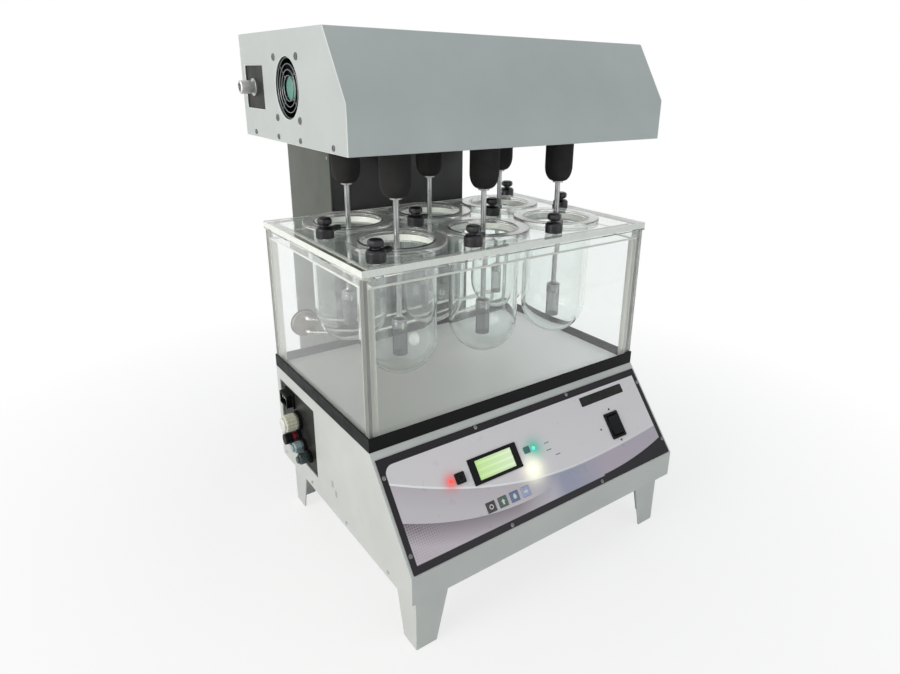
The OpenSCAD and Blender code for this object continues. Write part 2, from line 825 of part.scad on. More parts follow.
module head_connector() {
    color("#4b4c49") place() {
        block([head_in_x, head_in_x + 3], [conn_y - conn_w / 2 - 4, conn_y + conn_w / 2 + 4],
            [conn_z - conn_h / 2 - 4, conn_z + conn_h / 2 + 4]);
        bar_x([head_in_x - 3, head_in_x + 1], conn_y + 4, conn_z, conn_r + 3);
        bar_x([-half_head - conn_reach, head_in_x], conn_y + 4, conn_z, conn_r);
    }
}

module drive_motor() {
    color("#3b3e42") place() translate([motor_x, motor_y, 0])
        difference() {
            union() {
                translate([0, 0, motor_z]) cylinder(r = motor_r, h = motor_h, $fn = 64);
                block([-motor_post - 5, motor_post + 5], [-motor_post - 5, motor_post + 5],
                    [motor_z - 4, motor_z + 1]);
                for (sx = [-1, 1], sy = [-1, 1])
                    translate([sx * motor_post, sy * motor_post, floor_z + floor_t])
                        cylinder(r = 4, h = motor_z - floor_z - floor_t - 3, $fn = 24);
            }
            translate([0, 0, motor_z - 5]) cylinder(r = motor_shaft_r + run, h = 25, $fn = 32);
        }
}

// A belt pulley with two rims
module pulley(r) {
    translate([0, 0, pulley_z]) cylinder(r = r - belt_gap, h = pulley_h, $fn = 64);
    for (z = [pulley_z - pulley_rim, pulley_z + pulley_h])
        translate([0, 0, z]) cylinder(r = r + 1.5, h = pulley_rim, $fn = 64);
}

module motor_pulley() {
    color("#c8a13a") place() translate([motor_x, motor_y, 0]) {
        pulley(motor_belt_r);
        translate([0, 0, pulley_z - 4])
            cylinder(r = motor_shaft_r, h = motor_z + 18 - pulley_z, $fn = 32);
    }
}

module drive_belt() {
    w = 2 * (vessel_pitch + belt_r);
    d = vessel_pitch + 2 * belt_r;
    color("#151515") place() translate([0, row_y, pulley_z + (pulley_h - belt_h) / 2])
        difference() {
            round_block(w + 2 * belt_t, d + 2 * belt_t, belt_r + belt_t, belt_h);
            translate([0, 0, -1]) round_block(w, d, belt_r, belt_h + 2);
        }
}

module chuck(i) {
    top = head_z + 3;
    edge = min(chuck_edge, chuck_r - collar_r - play);
    foot_r = chuck_r - edge;
    nose = [for (a = [0 : 10 : 90]) [foot_r + edge * sin(a), chuck_z + chuck_nose_h * (1 - cos(a))]];
    color("#17181a") place() translate([spindle_xy[i][0], spindle_xy[i][1], 0])
        difference() {
            union() {
                rotate_extrude($fn = 64) polygon(concat([[0, chuck_z]], nose, [[chuck_r, top], [0, top]]));
                translate([0, 0, top - 1]) cylinder(r = spindle_r, h = spindle_top - top + 1, $fn = 48);
                pulley(belt_r);
            }
            translate([0, 0, chuck_z - 1]) cylinder(r = shaft_r + run, h = shaft_top - chuck_z + 2, $fn = 48);
        }
}

module chuck_1() { chuck(0); }
module chuck_2() { chuck(1); }
module chuck_3() { chuck(2); }
module chuck_4() { chuck(3); }
module chuck_5() { chuck(4); }
module chuck_6() { chuck(5); }

module shaft(i) {
    collar_t = 2.5;
    color("#cfd3d4") place() translate([spindle_xy[i][0], spindle_xy[i][1], 0]) {
        translate([0, 0, carrier_z]) cylinder(r = basket_r, h = carrier_h - 3, $fn = 48);
        translate([0, 0, carrier_z + carrier_h - 3])
            cylinder(r1 = basket_r, r2 = shaft_r + 1, h = 3, $fn = 48);
        translate([0, 0, carrier_z + 1]) cylinder(r = shaft_r, h = shaft_top - carrier_z - 1, $fn = 48);
        translate([0, 0, chuck_z - collar_t]) cylinder(r = collar_r, h = collar_t, $fn = 48);
    }
}

module shaft_1() { shaft(0); }
module shaft_2() { shaft(1); }
module shaft_3() { shaft(2); }
module shaft_4() { shaft(3); }
module shaft_5() { shaft(4); }
module shaft_6() { shaft(5); }

module basket(i) {
    wire_t = 0.8;
    color("#b4b8ba") place() translate([spindle_xy[i][0], spindle_xy[i][1], basket_z])
        difference() {
            cylinder(r = basket_r, h = basket_h, $fn = 48);
            translate([0, 0, wire_t]) cylinder(r = basket_r - wire_t, h = basket_h, $fn = 48);
        }
}

module basket_1() { basket(0); }
module basket_2() { basket(1); }
module basket_3() { basket(2); }
module basket_4() { basket(3); }
module basket_5() { basket(4); }
module basket_6() { basket(5); }

base_cabinet();
base_floor();
legs();
control_panel();
panel_screws();
display_board();
button_1();
button_2();
button_3();
button_4();
switch_frame();
lift_switch();
side_plate();
mains_inlet();
side_fittings();
tank();
tank_trim();
tank_lid();
heater_tube();
vessels();
clamp_1();
clamp_2();
clamp_3();
clamp_4();
clamp_5();
clamp_6();
clamp_7();
clamp_8();
column_housing();
column_front();
rod_guides();
lift_actuator();
lift_rods();
lift_yoke();
head_cover();
head_floor();
fan_frame();
fan_rotor();
head_connector();
drive_motor();
motor_pulley();
drive_belt();
chuck_1();
chuck_2();
chuck_3();
chuck_4();
chuck_5();
chuck_6();
shaft_1();
shaft_2();
shaft_3();
shaft_4();
shaft_5();
shaft_6();
basket_1();
basket_2();
basket_3();
basket_4();
basket_5();
basket_6();
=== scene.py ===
import json
import math

import bmesh
import bpy
import numpy as np
from mathutils import Matrix, Vector


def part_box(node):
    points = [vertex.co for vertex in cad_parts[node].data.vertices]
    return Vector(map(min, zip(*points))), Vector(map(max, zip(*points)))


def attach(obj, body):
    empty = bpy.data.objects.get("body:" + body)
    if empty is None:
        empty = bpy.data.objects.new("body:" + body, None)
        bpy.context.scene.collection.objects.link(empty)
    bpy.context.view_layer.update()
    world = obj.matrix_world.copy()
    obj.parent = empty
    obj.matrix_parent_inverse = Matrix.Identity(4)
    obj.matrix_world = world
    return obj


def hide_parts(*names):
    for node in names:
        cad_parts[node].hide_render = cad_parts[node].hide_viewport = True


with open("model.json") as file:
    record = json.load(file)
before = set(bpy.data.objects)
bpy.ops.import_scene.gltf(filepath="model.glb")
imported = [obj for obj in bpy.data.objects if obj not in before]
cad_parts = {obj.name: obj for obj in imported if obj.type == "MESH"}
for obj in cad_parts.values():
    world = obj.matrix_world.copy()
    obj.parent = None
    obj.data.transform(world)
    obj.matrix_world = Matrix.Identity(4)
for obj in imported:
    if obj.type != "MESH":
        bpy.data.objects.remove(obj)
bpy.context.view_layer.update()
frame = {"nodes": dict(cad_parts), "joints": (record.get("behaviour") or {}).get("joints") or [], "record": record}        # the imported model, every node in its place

mm = 0.001
joints = {joint["child"]: joint for joint in frame["joints"]}
bodyOf = {node: body for body, nodes in frame["record"]["behaviour"]["bodies"].items() for node in nodes}


def box(node):
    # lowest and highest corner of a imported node, in metres
    low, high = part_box(node)
    return np.array(low), np.array(high)


def nodePoints(node):
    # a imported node's points, in metres
    mesh = frame["nodes"][node].data
    points = np.empty(len(mesh.vertices) * 3)
    mesh.vertices.foreach_get("co", points)
    return points.reshape(-1, 3)


# The sloping front's own directions are across, up the slope and outwards, from the middle of its top edge
trimLow, trimHigh = box("tank_trim")
slopeTop = np.array(((trimLow[0] + trimHigh[0]) / 2, trimLow[1], trimLow[2]))
slopeOut = -np.array(joints["key_1"]["axis"])
slopeUp = np.array((0.0, slopeOut[2], -slopeOut[1]))
slopeAxes = np.array(((1.0, 0.0, 0.0), slopeUp, slopeOut))
slopeAngle = math.atan2(slopeUp[2], slopeUp[1])


def onSlope(points):
    # a point is the slope's origin plus x across, y up the slope and z outwards
    return slopeTop + np.asarray(points) @ slopeAxes


def slopeBox(node):
    # lowest and highest measures of a node along the slope's directions
    local = (nodePoints(node) - slopeTop) @ slopeAxes.T
    return local.min(0), local.max(0)


print("frame read")


# Shapes are pairs of points and faces

def gridFaces(rows, columns, closeRows=False, closeColumns=False):
    # a face joins a grid point, the next in its row and those two points' neighbours in the next row
    i, j = np.meshgrid(np.arange(rows if closeRows else rows - 1),
                       np.arange(columns if closeColumns else columns - 1), indexing="ij")
    iNext, jNext = (i + 1) % rows, (j + 1) % columns
    corners = (i * columns + j, i * columns + jNext, iNext * columns + jNext, iNext * columns + j)
    return np.stack(corners, -1).reshape(-1, 4).tolist()


def softened(corners, radius, steps=4, closed=False):
    # each corner gives way to a parabola that starts and ends on its two sides, at radius from it, and bends
    # towards it: the square of the share left times the start, twice both shares times the corner, and the
    # square of the share done times the end
    p = np.asarray(corners, float)
    toLast, toNext = np.roll(p, 1, 0) - p, np.roll(p, -1, 0) - p
    lengths = [np.maximum(np.linalg.norm(side, axis=1, keepdims=True), 1e-12) for side in (toLast, toNext)]
    reach = np.minimum(np.broadcast_to(np.reshape(radius, (-1, 1)), (len(p), 1)), 0.48 * np.minimum(*lengths))
    if not closed:
        reach = np.where(np.isin(np.arange(len(p)), (0, len(p) - 1))[:, None], 0, reach)
    a, b = p + toLast / lengths[0] * reach, p + toNext / lengths[1] * reach
    t = np.linspace(0, 1, steps + 1)[None, :, None]
    curve = (1 - t) ** 2 * a[:, None] + 2 * t * (1 - t) * p[:, None] + t ** 2 * b[:, None]
    return curve.reshape(-1, p.shape[1])


def turned(profile, around=48, closed=False, scallops=0, depth=0.0):
    # each profile point, a radius and a height, goes round the z axis; with scallops its radius is less by a
    # share that swings between nothing and depth, scallops times in a turn
    profile = np.asarray(profile, float)
    angle = np.arange(around) * 2 * math.pi / around
    r = profile[:, :1] * (1 - depth * (1 + np.cos(scallops * angle)) / 2 * (scallops > 0))
    points = np.stack((r * np.cos(angle), r * np.sin(angle), np.repeat(profile[:, 1:], around, 1)), -1)
    return points.reshape(-1, 3), gridFaces(len(profile), around, closed, True)


def solidOfTurning(profile, radius, steps=3, around=48, scallops=0, depth=0.0):
    # a profile in mm that starts and ends on the axis, turned after its corners are rounded
    return turned(softened(profile, radius, steps) * mm, around, False, scallops, depth)


def carried(outline, path, up):
    # the outline at each point of the path: its first measure runs sideways, which is square to up and to the
    # path's direction there, and its second square to both
    path, outline = np.asarray(path, float), np.asarray(outline, float)
    tangent = np.gradient(path, axis=0)
    tangent /= np.linalg.norm(tangent, axis=1, keepdims=True)
    side = np.cross(up, tangent)
    side /= np.linalg.norm(side, axis=1, keepdims=True)
    over = np.cross(tangent, side)
    points = path[:, None] + outline[None, :, :1] * side[:, None] + outline[None, :, 1:] * over[:, None]
    count = len(outline)
    ends = [list(range(count)), list(range((len(path) - 1) * count, len(path) * count))]
    return points.reshape(-1, 3), gridFaces(len(path), count, False, True) + ends


def ring(radius, sides):
    # points on a circle at even angles
    angle = np.arange(sides) * 2 * math.pi / sides
    return np.stack((radius * np.cos(angle), radius * np.sin(angle)), 1)


def wires(paths, sideA, sideB, radius, sides, closed=False):
    # each point of each path becomes a ring: radius times the angle's cosine along side A plus its sine along
    # side B; open ends shrink to a point
    paths, sideA, sideB = np.broadcast_arrays(paths, sideA, sideB)
    size = np.full(paths.shape[1], float(radius))
    if not closed:
        paths, sideA, sideB = [np.concatenate((v[:, :1], v, v[:, -1:]), 1) for v in (paths, sideA, sideB)]
        size = np.concatenate(((0,), size, (0,)))
    angle = np.arange(sides) * 2 * math.pi / sides
    spread = np.cos(angle)[:, None] * sideA[:, :, None] + np.sin(angle)[:, None] * sideB[:, :, None]
    points = paths[:, :, None] + size[None, :, None, None] * spread
    one = np.array(gridFaces(paths.shape[1], sides, closed, True))
    starts = np.arange(len(paths)) * paths.shape[1] * sides
    return points.reshape(-1, 3), (one[None] + starts[:, None, None]).reshape(-1, 4).tolist()


def roundedBox(low, high, radius, steps=3):
    # a point is the inner box's corner on its side plus radius times its direction
    low, high = np.minimum(low, high), np.maximum(low, high)
    middle, inner = (low + high) / 2, (high - low) / 2 - radius
    quarter = np.linspace(0, math.pi / 2, steps + 1)
    turn = (np.arange(4)[:, None] * math.pi / 2 + quarter).ravel()
    lift = np.concatenate((quarter - math.pi / 2, quarter))
    signX, signY = np.repeat((1, -1, -1, 1), steps + 1), np.repeat((1, 1, -1, -1), steps + 1)
    signZ = np.repeat((-1, 1), steps + 1)
    d = np.stack((np.cos(lift)[:, None] * np.cos(turn), np.cos(lift)[:, None] * np.sin(turn),
                  np.repeat(np.sin(lift)[:, None], len(turn), 1)), -1)
    sign = np.stack((np.tile(signX, (len(lift), 1)), np.tile(signY, (len(lift), 1)),
                     np.repeat(signZ[:, None], len(turn), 1)), -1)
    points = middle + sign * inner + radius * d
    columns, rows = len(turn), len(lift)
    ends = [[row * columns + k * (steps + 1) for k in range(4)] for row in (0, rows - 1)]
    return points.reshape(-1, 3), gridFaces(rows, columns, False, True) + ends


def plate(outline, low, high, edge=0.0):
    # the outline at low and high, drawn in by edge along its normals there and full in between, with ends
    outline = np.asarray(outline, float)
    along = np.roll(outline, -1, 0) - np.roll(outline, 1, 0)
    along /= np.maximum(np.linalg.norm(along, axis=1, keepdims=True), 1e-12)
    inward = np.stack((-along[:, 1], along[:, 0]), 1)
    levels = ((edge, low), (0, low + edge), (0, high - edge), (edge, high))
    rows = [np.column_stack((outline + inward * inset, np.full(len(outline), z))) for inset, z in levels]
    count = len(outline)
    ends = [list(range(count)), list(range(3 * count, 4 * count))]
    return np.concatenate(rows), gridFaces(4, count, False, True) + ends


def shifted(shape, place):
    return shape[0] + np.asarray(place), shape[1]


def moved(shape, place=(0, 0, 0), axis=(0, 0, 1), twist=0.0):
    # z goes to axis, after a turn by twist about it, and the origin to place; x stays level
    out = np.asarray(axis, float) / np.linalg.norm(axis)
    level = np.cross((0.0, 0.0, 1.0), out)
    size = np.linalg.norm(level)
    level = level / size if size > 1e-6 else np.array((1.0, 0.0, 0.0))
    turn = np.stack((level, np.cross(out, level), out), 1)
    c, s = math.cos(twist), math.sin(twist)
    spin = np.array(((c, -s, 0), (s, c, 0), (0, 0, 1)))
    return shape[0] @ spin.T @ turn.T + np.asarray(place), shape[1]


def rectangle(width, height):
    # four corners round the origin, from the lower left one and against the clock
    return np.array(((-1, -1), (1, -1), (1, 1), (-1, 1))) * (width / 2, height / 2)


def newPiece(name, parts, body, sharp=35.0, replaced=()):
    # pairs of a shape and a look become one mesh; seams and poles are merged and the faces point outwards
    looks, points, faces, marks, start = [], [], [], [], 0
    for (partPoints, partFaces), look in parts:
        if look not in looks:
            looks.append(look)
        points.append(partPoints)
        faces += [[start + corner for corner in face] for face in partFaces]
        marks += [looks.index(look)] * len(partFaces)
        start += len(partPoints)
    mesh = bpy.data.meshes.new(name)
    mesh.from_pydata(np.concatenate(points).tolist(), [], faces)
    mesh.polygons.foreach_set("material_index", marks)
    for look in looks:
        mesh.materials.append(look)
    work = bmesh.new()
    work.from_mesh(mesh)
    bmesh.ops.remove_doubles(work, verts=work.verts, dist=1e-7)
    bmesh.ops.dissolve_degenerate(work, edges=work.edges, dist=1e-8)
    bmesh.ops.recalc_face_normals(work, faces=work.faces)
    work.to_mesh(mesh)
    work.free()
    shown(name, mesh, body, replaced, None, sharp)


def evenNormals(mesh, sharp):
    # a corner's normal is the sum of area times normal over those faces at its point that turn less than
    # sharp from its own face
    point, total = np.empty(len(mesh.loops), np.int32), np.empty(len(mesh.polygons), np.int32)
    normal, area = np.empty(len(mesh.polygons) * 3), np.empty(len(mesh.polygons))
    mesh.loops.foreach_get("vertex_index", point)
    for values, attribute in ((total, "loop_total"), (normal, "normal"), (area, "area")):
        mesh.polygons.foreach_get(attribute, values)
    owner = np.repeat(np.arange(len(total)), total)
    order = np.argsort(point, kind="stable")
    near, normal = point[order], normal.reshape(-1, 3)[owner[order]]
    weight = normal * area[owner[order]][:, None]
    summed = weight.copy()
    for shift in range(1, np.bincount(point).max()):
        turnLess = (normal[shift:] * normal[:-shift]).sum(1) > math.cos(math.radians(sharp))
        same = (near[shift:] == near[:-shift]) & turnLess
        first = np.nonzero(same)[0]
        summed[first] += weight[first + shift]
        summed[first + shift] += weight[first]
    corners = np.empty_like(summed)
    corners[order] = summed / np.maximum(np.linalg.norm(summed, axis=1, keepdims=True), 1e-20)
    mesh.normals_split_custom_set(corners.tolist())


def shown(name, mesh, body, replaced, bevel=None, sharp=None):
    # a mesh on its body, with even normals up to a sharp angle or with its edges rounded
    mesh.shade_smooth()
    if sharp is not None:
        evenNormals(mesh, sharp)
    piece = bpy.data.objects.new(name, mesh)
    bpy.context.scene.collection.objects.link(piece)
    if bevel:
        rounding = piece.modifiers.new("rounding", "BEVEL")
        rounding.width, rounding.segments = bevel
        rounding.limit_method, rounding.angle_limit = "ANGLE", math.radians(35)
        rounding.harden_normals = True
    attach(piece, body)
    if replaced:
        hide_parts(*replaced)
    return piece


def dressed(node, look, bevel):
    # a merged copy of a node's own mesh, whose flat faces are whole, so that its edges can be rounded
    mesh = frame["nodes"][node].data.copy()
    work = bmesh.new()
    work.from_mesh(mesh)
    bmesh.ops.remove_doubles(work, verts=work.verts, dist=1e-6)
    bmesh.ops.dissolve_limit(work, angle_limit=math.radians(0.4), verts=work.verts, edges=work.edges)
    work.to_mesh(mesh)
    work.free()
    if "custom_normal" in mesh.attributes:
        mesh.attributes.remove(mesh.attributes["custom_normal"])
    mesh.materials.clear()
    mesh.materials.append(look)
    mesh.polygons.foreach_set("material_index", [0] * len(mesh.polygons))
    return shown(node.replace("_", "-") + "-dressed", mesh, bodyOf[node], (node,), bevel)


def keep(look, *nodes):
    # a node whose own shape is right only gets a finish
    for node in nodes:
        for materialSlot in frame["nodes"][node].material_slots:
            materialSlot.material = look


print("shape tools ready")


# Finishes

def tone(code):
    # a screen colour such as "#c9cfcb" as the linear colour that a shader takes
    part = np.array([int(code[i:i + 2], 16) for i in (1, 3, 5)]) / 255
    linear = np.where(part <= 0.04045, part / 12.92, ((part + 0.055) / 1.055) ** 2.4)
    return (*linear.tolist(), 1.0)


class Look:
    # a material's nodes, and short ways to add to them

    def __init__(self, name, colour, rough=0.5, **sockets):
        self.material = bpy.data.materials.new(name)
        self.material.use_nodes = True
        self.tree = self.material.node_tree
        self.shader = self.tree.nodes["Principled BSDF"]
        self.out = self.tree.nodes["Material Output"]
        self.set("Base Color", tone(colour))
        self.set("Roughness", rough)
        for socket, value in sockets.items():
            self.set(socket.replace("_", " "), value)
        self.material.diffuse_color = tone(colour)

    def set(self, socket, value):
        self.feed(self.shader.inputs[socket], value)

    def feed(self, socket, value):
        if isinstance(value, bpy.types.NodeSocket):
            self.tree.links.new(value, socket)
        else:
            socket.default_value = value

    def add(self, kind, inputs=(), **settings):
        node = self.tree.nodes.new(kind)
        for key, value in settings.items():
            setattr(node, key, value)
        for key, value in dict(inputs).items():
            self.feed(node.inputs[key], value)
        return node

    def place(self, scale=(1, 1, 1), start=(0, 0, 0), turn=(0, 0, 0), kind="TEXTURE"):
        where = self.add("ShaderNodeTexCoord").outputs["Object"]
        return self.add("ShaderNodeMapping", {"Vector": where, "Location": start, "Rotation": turn,
                                              "Scale": scale}, vector_type=kind).outputs["Vector"]

    def math(self, operation, a, b=0.0):
        return self.add("ShaderNodeMath", {0: a, 1: b, 2: 0.0}, operation=operation).outputs[0]

    def plus(self, a, b):
        return self.math("ADD", a, b)

    def less(self, a, b):
        return self.math("SUBTRACT", a, b)

    def times(self, a, b):
        return self.math("MULTIPLY", a, b)

    def larger(self, a, b):
        return self.math("MAXIMUM", a, b)

    def smaller(self, a, b):
        return self.math("MINIMUM", a, b)

    def squares(self, a, b):
        return self.plus(self.times(a, a), self.times(b, b))

    def step(self, value, width=1.0):
        # nothing below minus half the width, one above half the width, and a straight rise between them
        rise = {0: value, 1: 1 / width, 2: 0.5}
        return self.add("ShaderNodeMath", rise, operation="MULTIPLY_ADD", use_clamp=True).outputs[0]

    def noise(self, scale, detail=3.0, rough=0.5, vector=None):
        vector = vector or self.place()
        return self.add("ShaderNodeTexNoise", {"Vector": vector, "Scale": scale, "Detail": detail,
                                               "Roughness": rough}).outputs["Fac"]

    def between(self, factor, a, b):
        node = self.add("ShaderNodeMix", data_type="RGBA")
        for socket, value in ((node.inputs[0], factor), (node.inputs[6], a), (node.inputs[7], b)):
            self.feed(socket, value)
        return node.outputs[2]

    def range(self, value, low, high, start, end):
        return self.add("ShaderNodeMapRange", {"Value": value, "From Min": low, "From Max": high,
                                               "To Min": start, "To Max": end}).outputs["Result"]

    def bump(self, height, distance, strength=1.0):
        node = self.add("ShaderNodeBump", {"Height": height, "Strength": strength, "Distance": distance})
        self.set("Normal", node.outputs["Normal"])

    def throughShadows(self, clear):
        # lamps shine through the finish, as they do through clear walls
        ray = self.add("ShaderNodeLightPath").outputs["Is Shadow Ray"]
        see = self.add("ShaderNodeBsdfTransparent", {"Color": clear}).outputs[0]
        mix = self.add("ShaderNodeMixShader", {0: ray, 1: self.shader.outputs[0], 2: see}).outputs[0]
        self.feed(self.out.inputs["Surface"], mix)


def powderCoat(name, colour, worn, rough=0.42, paintedBendHighlight=None):
    # sheet coated with baked powder: orange peel, and a faint film of dust that varies over a hand's breadth;
    # on bends between a side and the front a painted highlight shows: its share is four times the square of
    # the normal's part across, times what is left of one after that square
    look = Look(name, colour, rough)
    cloud = look.noise(9.0, 4.0, 0.6)
    fleck = look.noise(420.0, 2.0, 0.5)
    shade = look.between(look.range(cloud, 0.35, 0.68, 0.0, 0.55), tone(colour), tone(worn))
    shade = look.between(look.range(fleck, 0.60, 0.75, 0.0, 0.22), shade, tone(worn))
    if paintedBendHighlight:
        normal = look.add("ShaderNodeNewGeometry").outputs["Normal"]
        across = look.add("ShaderNodeSeparateXYZ", {0: normal}).outputs["X"]
        square = look.times(across, across)
        line = look.times(look.times(square, look.less(1.0, square)), 4.0)
        shade = look.between(line, shade, tone(paintedBendHighlight))
    look.set("Base Color", shade)
    look.set("Roughness", look.range(cloud, 0.3, 0.7, rough - 0.05, rough + 0.08))
    look.bump(look.noise(900.0, 2.0, 0.45), 0.00006, 0.35)
    return look.material


def mouldedPlastic(name, colour, paler, rough=0.4, shine=0.5, grain=1600.0, peel=0.00004):
    look = Look(name, colour, rough, Specular_IOR_Level=shine)
    cloud = look.noise(60.0, 3.0, 0.5)
    look.set("Base Color", look.between(look.range(cloud, 0.35, 0.7, 0.0, 1.0), tone(colour), tone(paler)))
    look.set("Roughness", look.range(cloud, 0.3, 0.7, rough - 0.06, rough + 0.1))
    look.bump(look.noise(grain, 2.0, 0.5), peel, 0.4)
    return look.material


def drawnSteel(name, colour, darker, rough, stretch=1.0, fine=300.0):
    # bright metal with fine lines, drawn out or pressed together along z
    look = Look(name, colour, rough, Metallic=1.0)
    lines = look.noise(fine, 2.0, 0.5, look.place((1.0, 1.0, stretch), kind="POINT"))
    cloud = look.noise(45.0, 3.0, 0.55)
    look.set("Base Color", look.between(look.range(cloud, 0.35, 0.7, 0.0, 1.0), tone(colour), tone(darker)))
    look.set("Roughness", look.range(lines, 0.3, 0.7, rough - 0.06, rough + 0.12))
    look.bump(lines, 0.00002, 0.25)
    return look.material


def clearSheet(name, colour, rough, ior, through=1.0, shade=0.985):
    # cast clear sheet; wipe marks show in its gloss
    look = Look(name, colour, rough, Transmission_Weight=through, IOR=ior)
    wipe = look.noise(14.0, 4.0, 0.6, look.place((1.0, 1.0, 3.0), kind="POINT"))
    look.set("Roughness", look.range(wipe, 0.45, 0.75, rough, rough + 0.05))
    look.throughShadows((shade, shade + 0.005, shade, 1.0))
    return look.material


def sawnEdgePaintedGlow():
    # the cut and flamed edge of clear sheet, pale, with a faint painted glow for the light that runs inside
    # it
    look = Look("sawnAcrylicPaintedGlow", "#f0f2ee", 0.42)
    saw = look.noise(500.0, 3.0, 0.6, look.place((1.0, 1.0, 0.3), kind="POINT"))
    share = look.range(saw, 0.3, 0.7, 0.0, 1.0)
    look.set("Base Color", look.between(share, tone("#e8eae5"), tone("#dadcd6")))
    look.set("Emission Color", tone("#eef0ea"))
    look.set("Emission Strength", 0.08)
    look.bump(saw, 0.00005, 0.25)
    return look.material


def milkySheetWithPaintedLight():
    # white sheet with painted shade, greyer at the left, and painted light, a faint glow that grows towards
    # the right
    look = Look("milkyFloorPaintedShadeAndGlow", "#f6f8f8", 0.3)
    x = look.add("ShaderNodeSeparateXYZ", {0: look.place()}).outputs["X"]
    cloud = look.range(look.noise(60.0, 3.0, 0.5), 0.35, 0.7, 0.0, 0.3)
    paintedShadeGrey = look.between(cloud, tone("#b0b3b0"), tone("#a6a9a6"))
    look.set("Base Color", look.between(look.range(x, -0.2, 0.1, 0.0, 1.0), paintedShadeGrey, tone("#f8fafb")))
    look.set("Emission Color", tone("#e9eff5"))
    look.set("Emission Strength", look.range(x, -0.02, 0.2, 0.0, 0.16))
    return look.material


# a plastic is its colour, the tone that clouds it, its roughness, shine, grain and depth of grain; a metal is
# its colour, darker tone, roughness, and the stretch and fineness of its lines; what is left out is the usual
plastics = {
    "trimBlack": ("#0a0b0c", "#121314", 0.45, 0.12),
    "sleeveBlack": ("#373636", "#3d3c3c", 0.6, 0.03),
    "darkPlate": ("#1b1c1a", "#2b2c2a", 0.42, 0.15),
    "clampBlack": ("#111116", "#1b1b20", 0.36),
    "creamPlastic": ("#dcd9c9", "#c9c5b2", 0.45),
    "redPlastic": ("#8a2c3a", "#6c2430", 0.35),
    "bluePlastic": ("#8fa3a5", "#7b9092", 0.35),
    "fittingDark": ("#2c3a3c", "#364446"),
    "slotGrey": ("#a6a69f", "#b0b0a9", 0.5),
    "barTeal": ("#3d6f6c", "#4b7f7b"),
    "lampTeal": ("#24655c", "#2f7268"),
    "hubTeal": ("#528579", "#63978b", 0.45),
    "whitePlastic": ("#e2e2dc", "#cfcfc8"),
    "rubber": ("#131313", "#1d1d1d", 0.7, 0.5, 900.0, 0.0001),
}
metals = {
    "brightSteel": ("#d5d8d9", "#bcc0c2", 0.2, 0.02, 2600.0),
    "shaftSteel": ("#a6a8a8", "#8e9090", 0.26, 0.02, 2600.0),
    "turnedSteel": ("#c3c6c6", "#a7aaaa", 0.27, 12.0, 700.0),
    "wireSteel": ("#8d9092", "#6d7072", 0.35, 1.0, 2000.0),
    "heaterSteel": ("#e2e1dc", "#c9c7c0", 0.2),
    "guardWire": ("#8b8f90", "#7d8182", 0.3),
    "dullSteel": ("#7d7f7e", "#6b6d6c", 0.36),
    "zincPlate": ("#c9cbc8", "#a5a8a4", 0.33),
    "bossMetal": ("#a39c95", "#8b837c", 0.42, 1.0, 400.0),
    "castBright": ("#dcdcda", "#c2c2c0", 0.36, 1.0, 400.0),
    "castAluminium": ("#a9adaf", "#8e9294", 0.45, 1.0, 500.0),
    "brass": ("#c8a24a", "#a98436", 0.28, 1.0, 500.0),
}
finish = {
    "baseCoat": powderCoat("baseCoat", "#caccca", "#bdc0bd"),
    # the head's bends between side and front carry a painted highlight
    "headCoat": powderCoat("headCoat", "#bbc0c0", "#b1b6b6", paintedBendHighlight="#eef0ec"),
    # the column's coat is much darker than the head's: painted shade, standing for the head's shadow falling
    # on it
    "columnCoatPaintedShade": powderCoat("columnCoatPaintedShade", "#494f45", "#42483e"),
    "blackCoat": powderCoat("blackCoat", "#1e1e1f", "#262626", 0.4),
    "clearAcrylic": clearSheet("clearAcrylic", "#fafcfb", 0.0, 1.49, shade=0.86),
    "cornerAcrylic": clearSheet("cornerAcrylic", "#dadcd6", 0.35, 1.3, 0.7),
    "vesselGlass": clearSheet("vesselGlass", "#f8fbfa", 0.0, 1.5),
    "groundGlass": clearSheet("groundGlass", "#fbfcfa", 0.1, 1.5, 0.9),
    "sawnAcrylicPaintedGlow": sawnEdgePaintedGlow(),
    "milkyFloorPaintedShadeAndGlow": milkySheetWithPaintedLight(),
    **{name: mouldedPlastic(name, *settings) for name, settings in plastics.items()},
    **{name: drawnSteel(name, *settings) for name, settings in metals.items()},
}
print("finishes mixed:", len(finish))


# Cabinet, legs and column: folded sheet with soft bends

# bends are a width and a number of faces; the floor's screws stand at shares of the side's length
sheetMetal = {"cabinetBend": (1.8 * mm, 3), "legBend": (1.0 * mm, 2), "columnBend": (1.4 * mm, 3),
              "plateEdge": (0.4 * mm, 2), "trimEdge": (0.7 * mm, 2), "floorScrewUp": 9 * mm,
              "floorScrewsAlong": (0.14, 0.42, 0.7, 0.95)}

cabinetLow, cabinetHigh = box("base_cabinet")
columnLow, columnHigh = box("column_housing")
dressed("base_cabinet", finish["baseCoat"], sheetMetal["cabinetBend"])
dressed("legs", finish["baseCoat"], sheetMetal["legBend"])
dressed("column_housing", finish["columnCoatPaintedShade"], sheetMetal["columnBend"])
dressed("column_front", finish["blackCoat"], sheetMetal["plateEdge"])
dressed("side_plate", finish["darkPlate"], sheetMetal["plateEdge"])
dressed("tank_trim", finish["trimBlack"], sheetMetal["trimEdge"])
keep(finish["baseCoat"], "base_floor")
keep(finish["castAluminium"], "rod_guides", "lift_yoke", "head_floor")
keep(finish["brightSteel"], "lift_rods")
keep(finish["trimBlack"], "lift_actuator", "drive_motor")
keep(finish["brass"], "motor_pulley")
keep(finish["rubber"], "drive_belt")


# heads as shares of their radius and height: rings, the fall of the dome, and the cross let into it
screwShape = {"rings": (0.0, *np.linspace(0.06, 0.62, 9), 0.7, 0.82, 0.93, 1.0), "around": 32,
              "curve": 2.4, "fall": 2.2, "armHalf": 0.16, "armLong": 0.58, "recess": 0.55, "sunk": 0.2,
              "turns": (0.4, 1.3)}


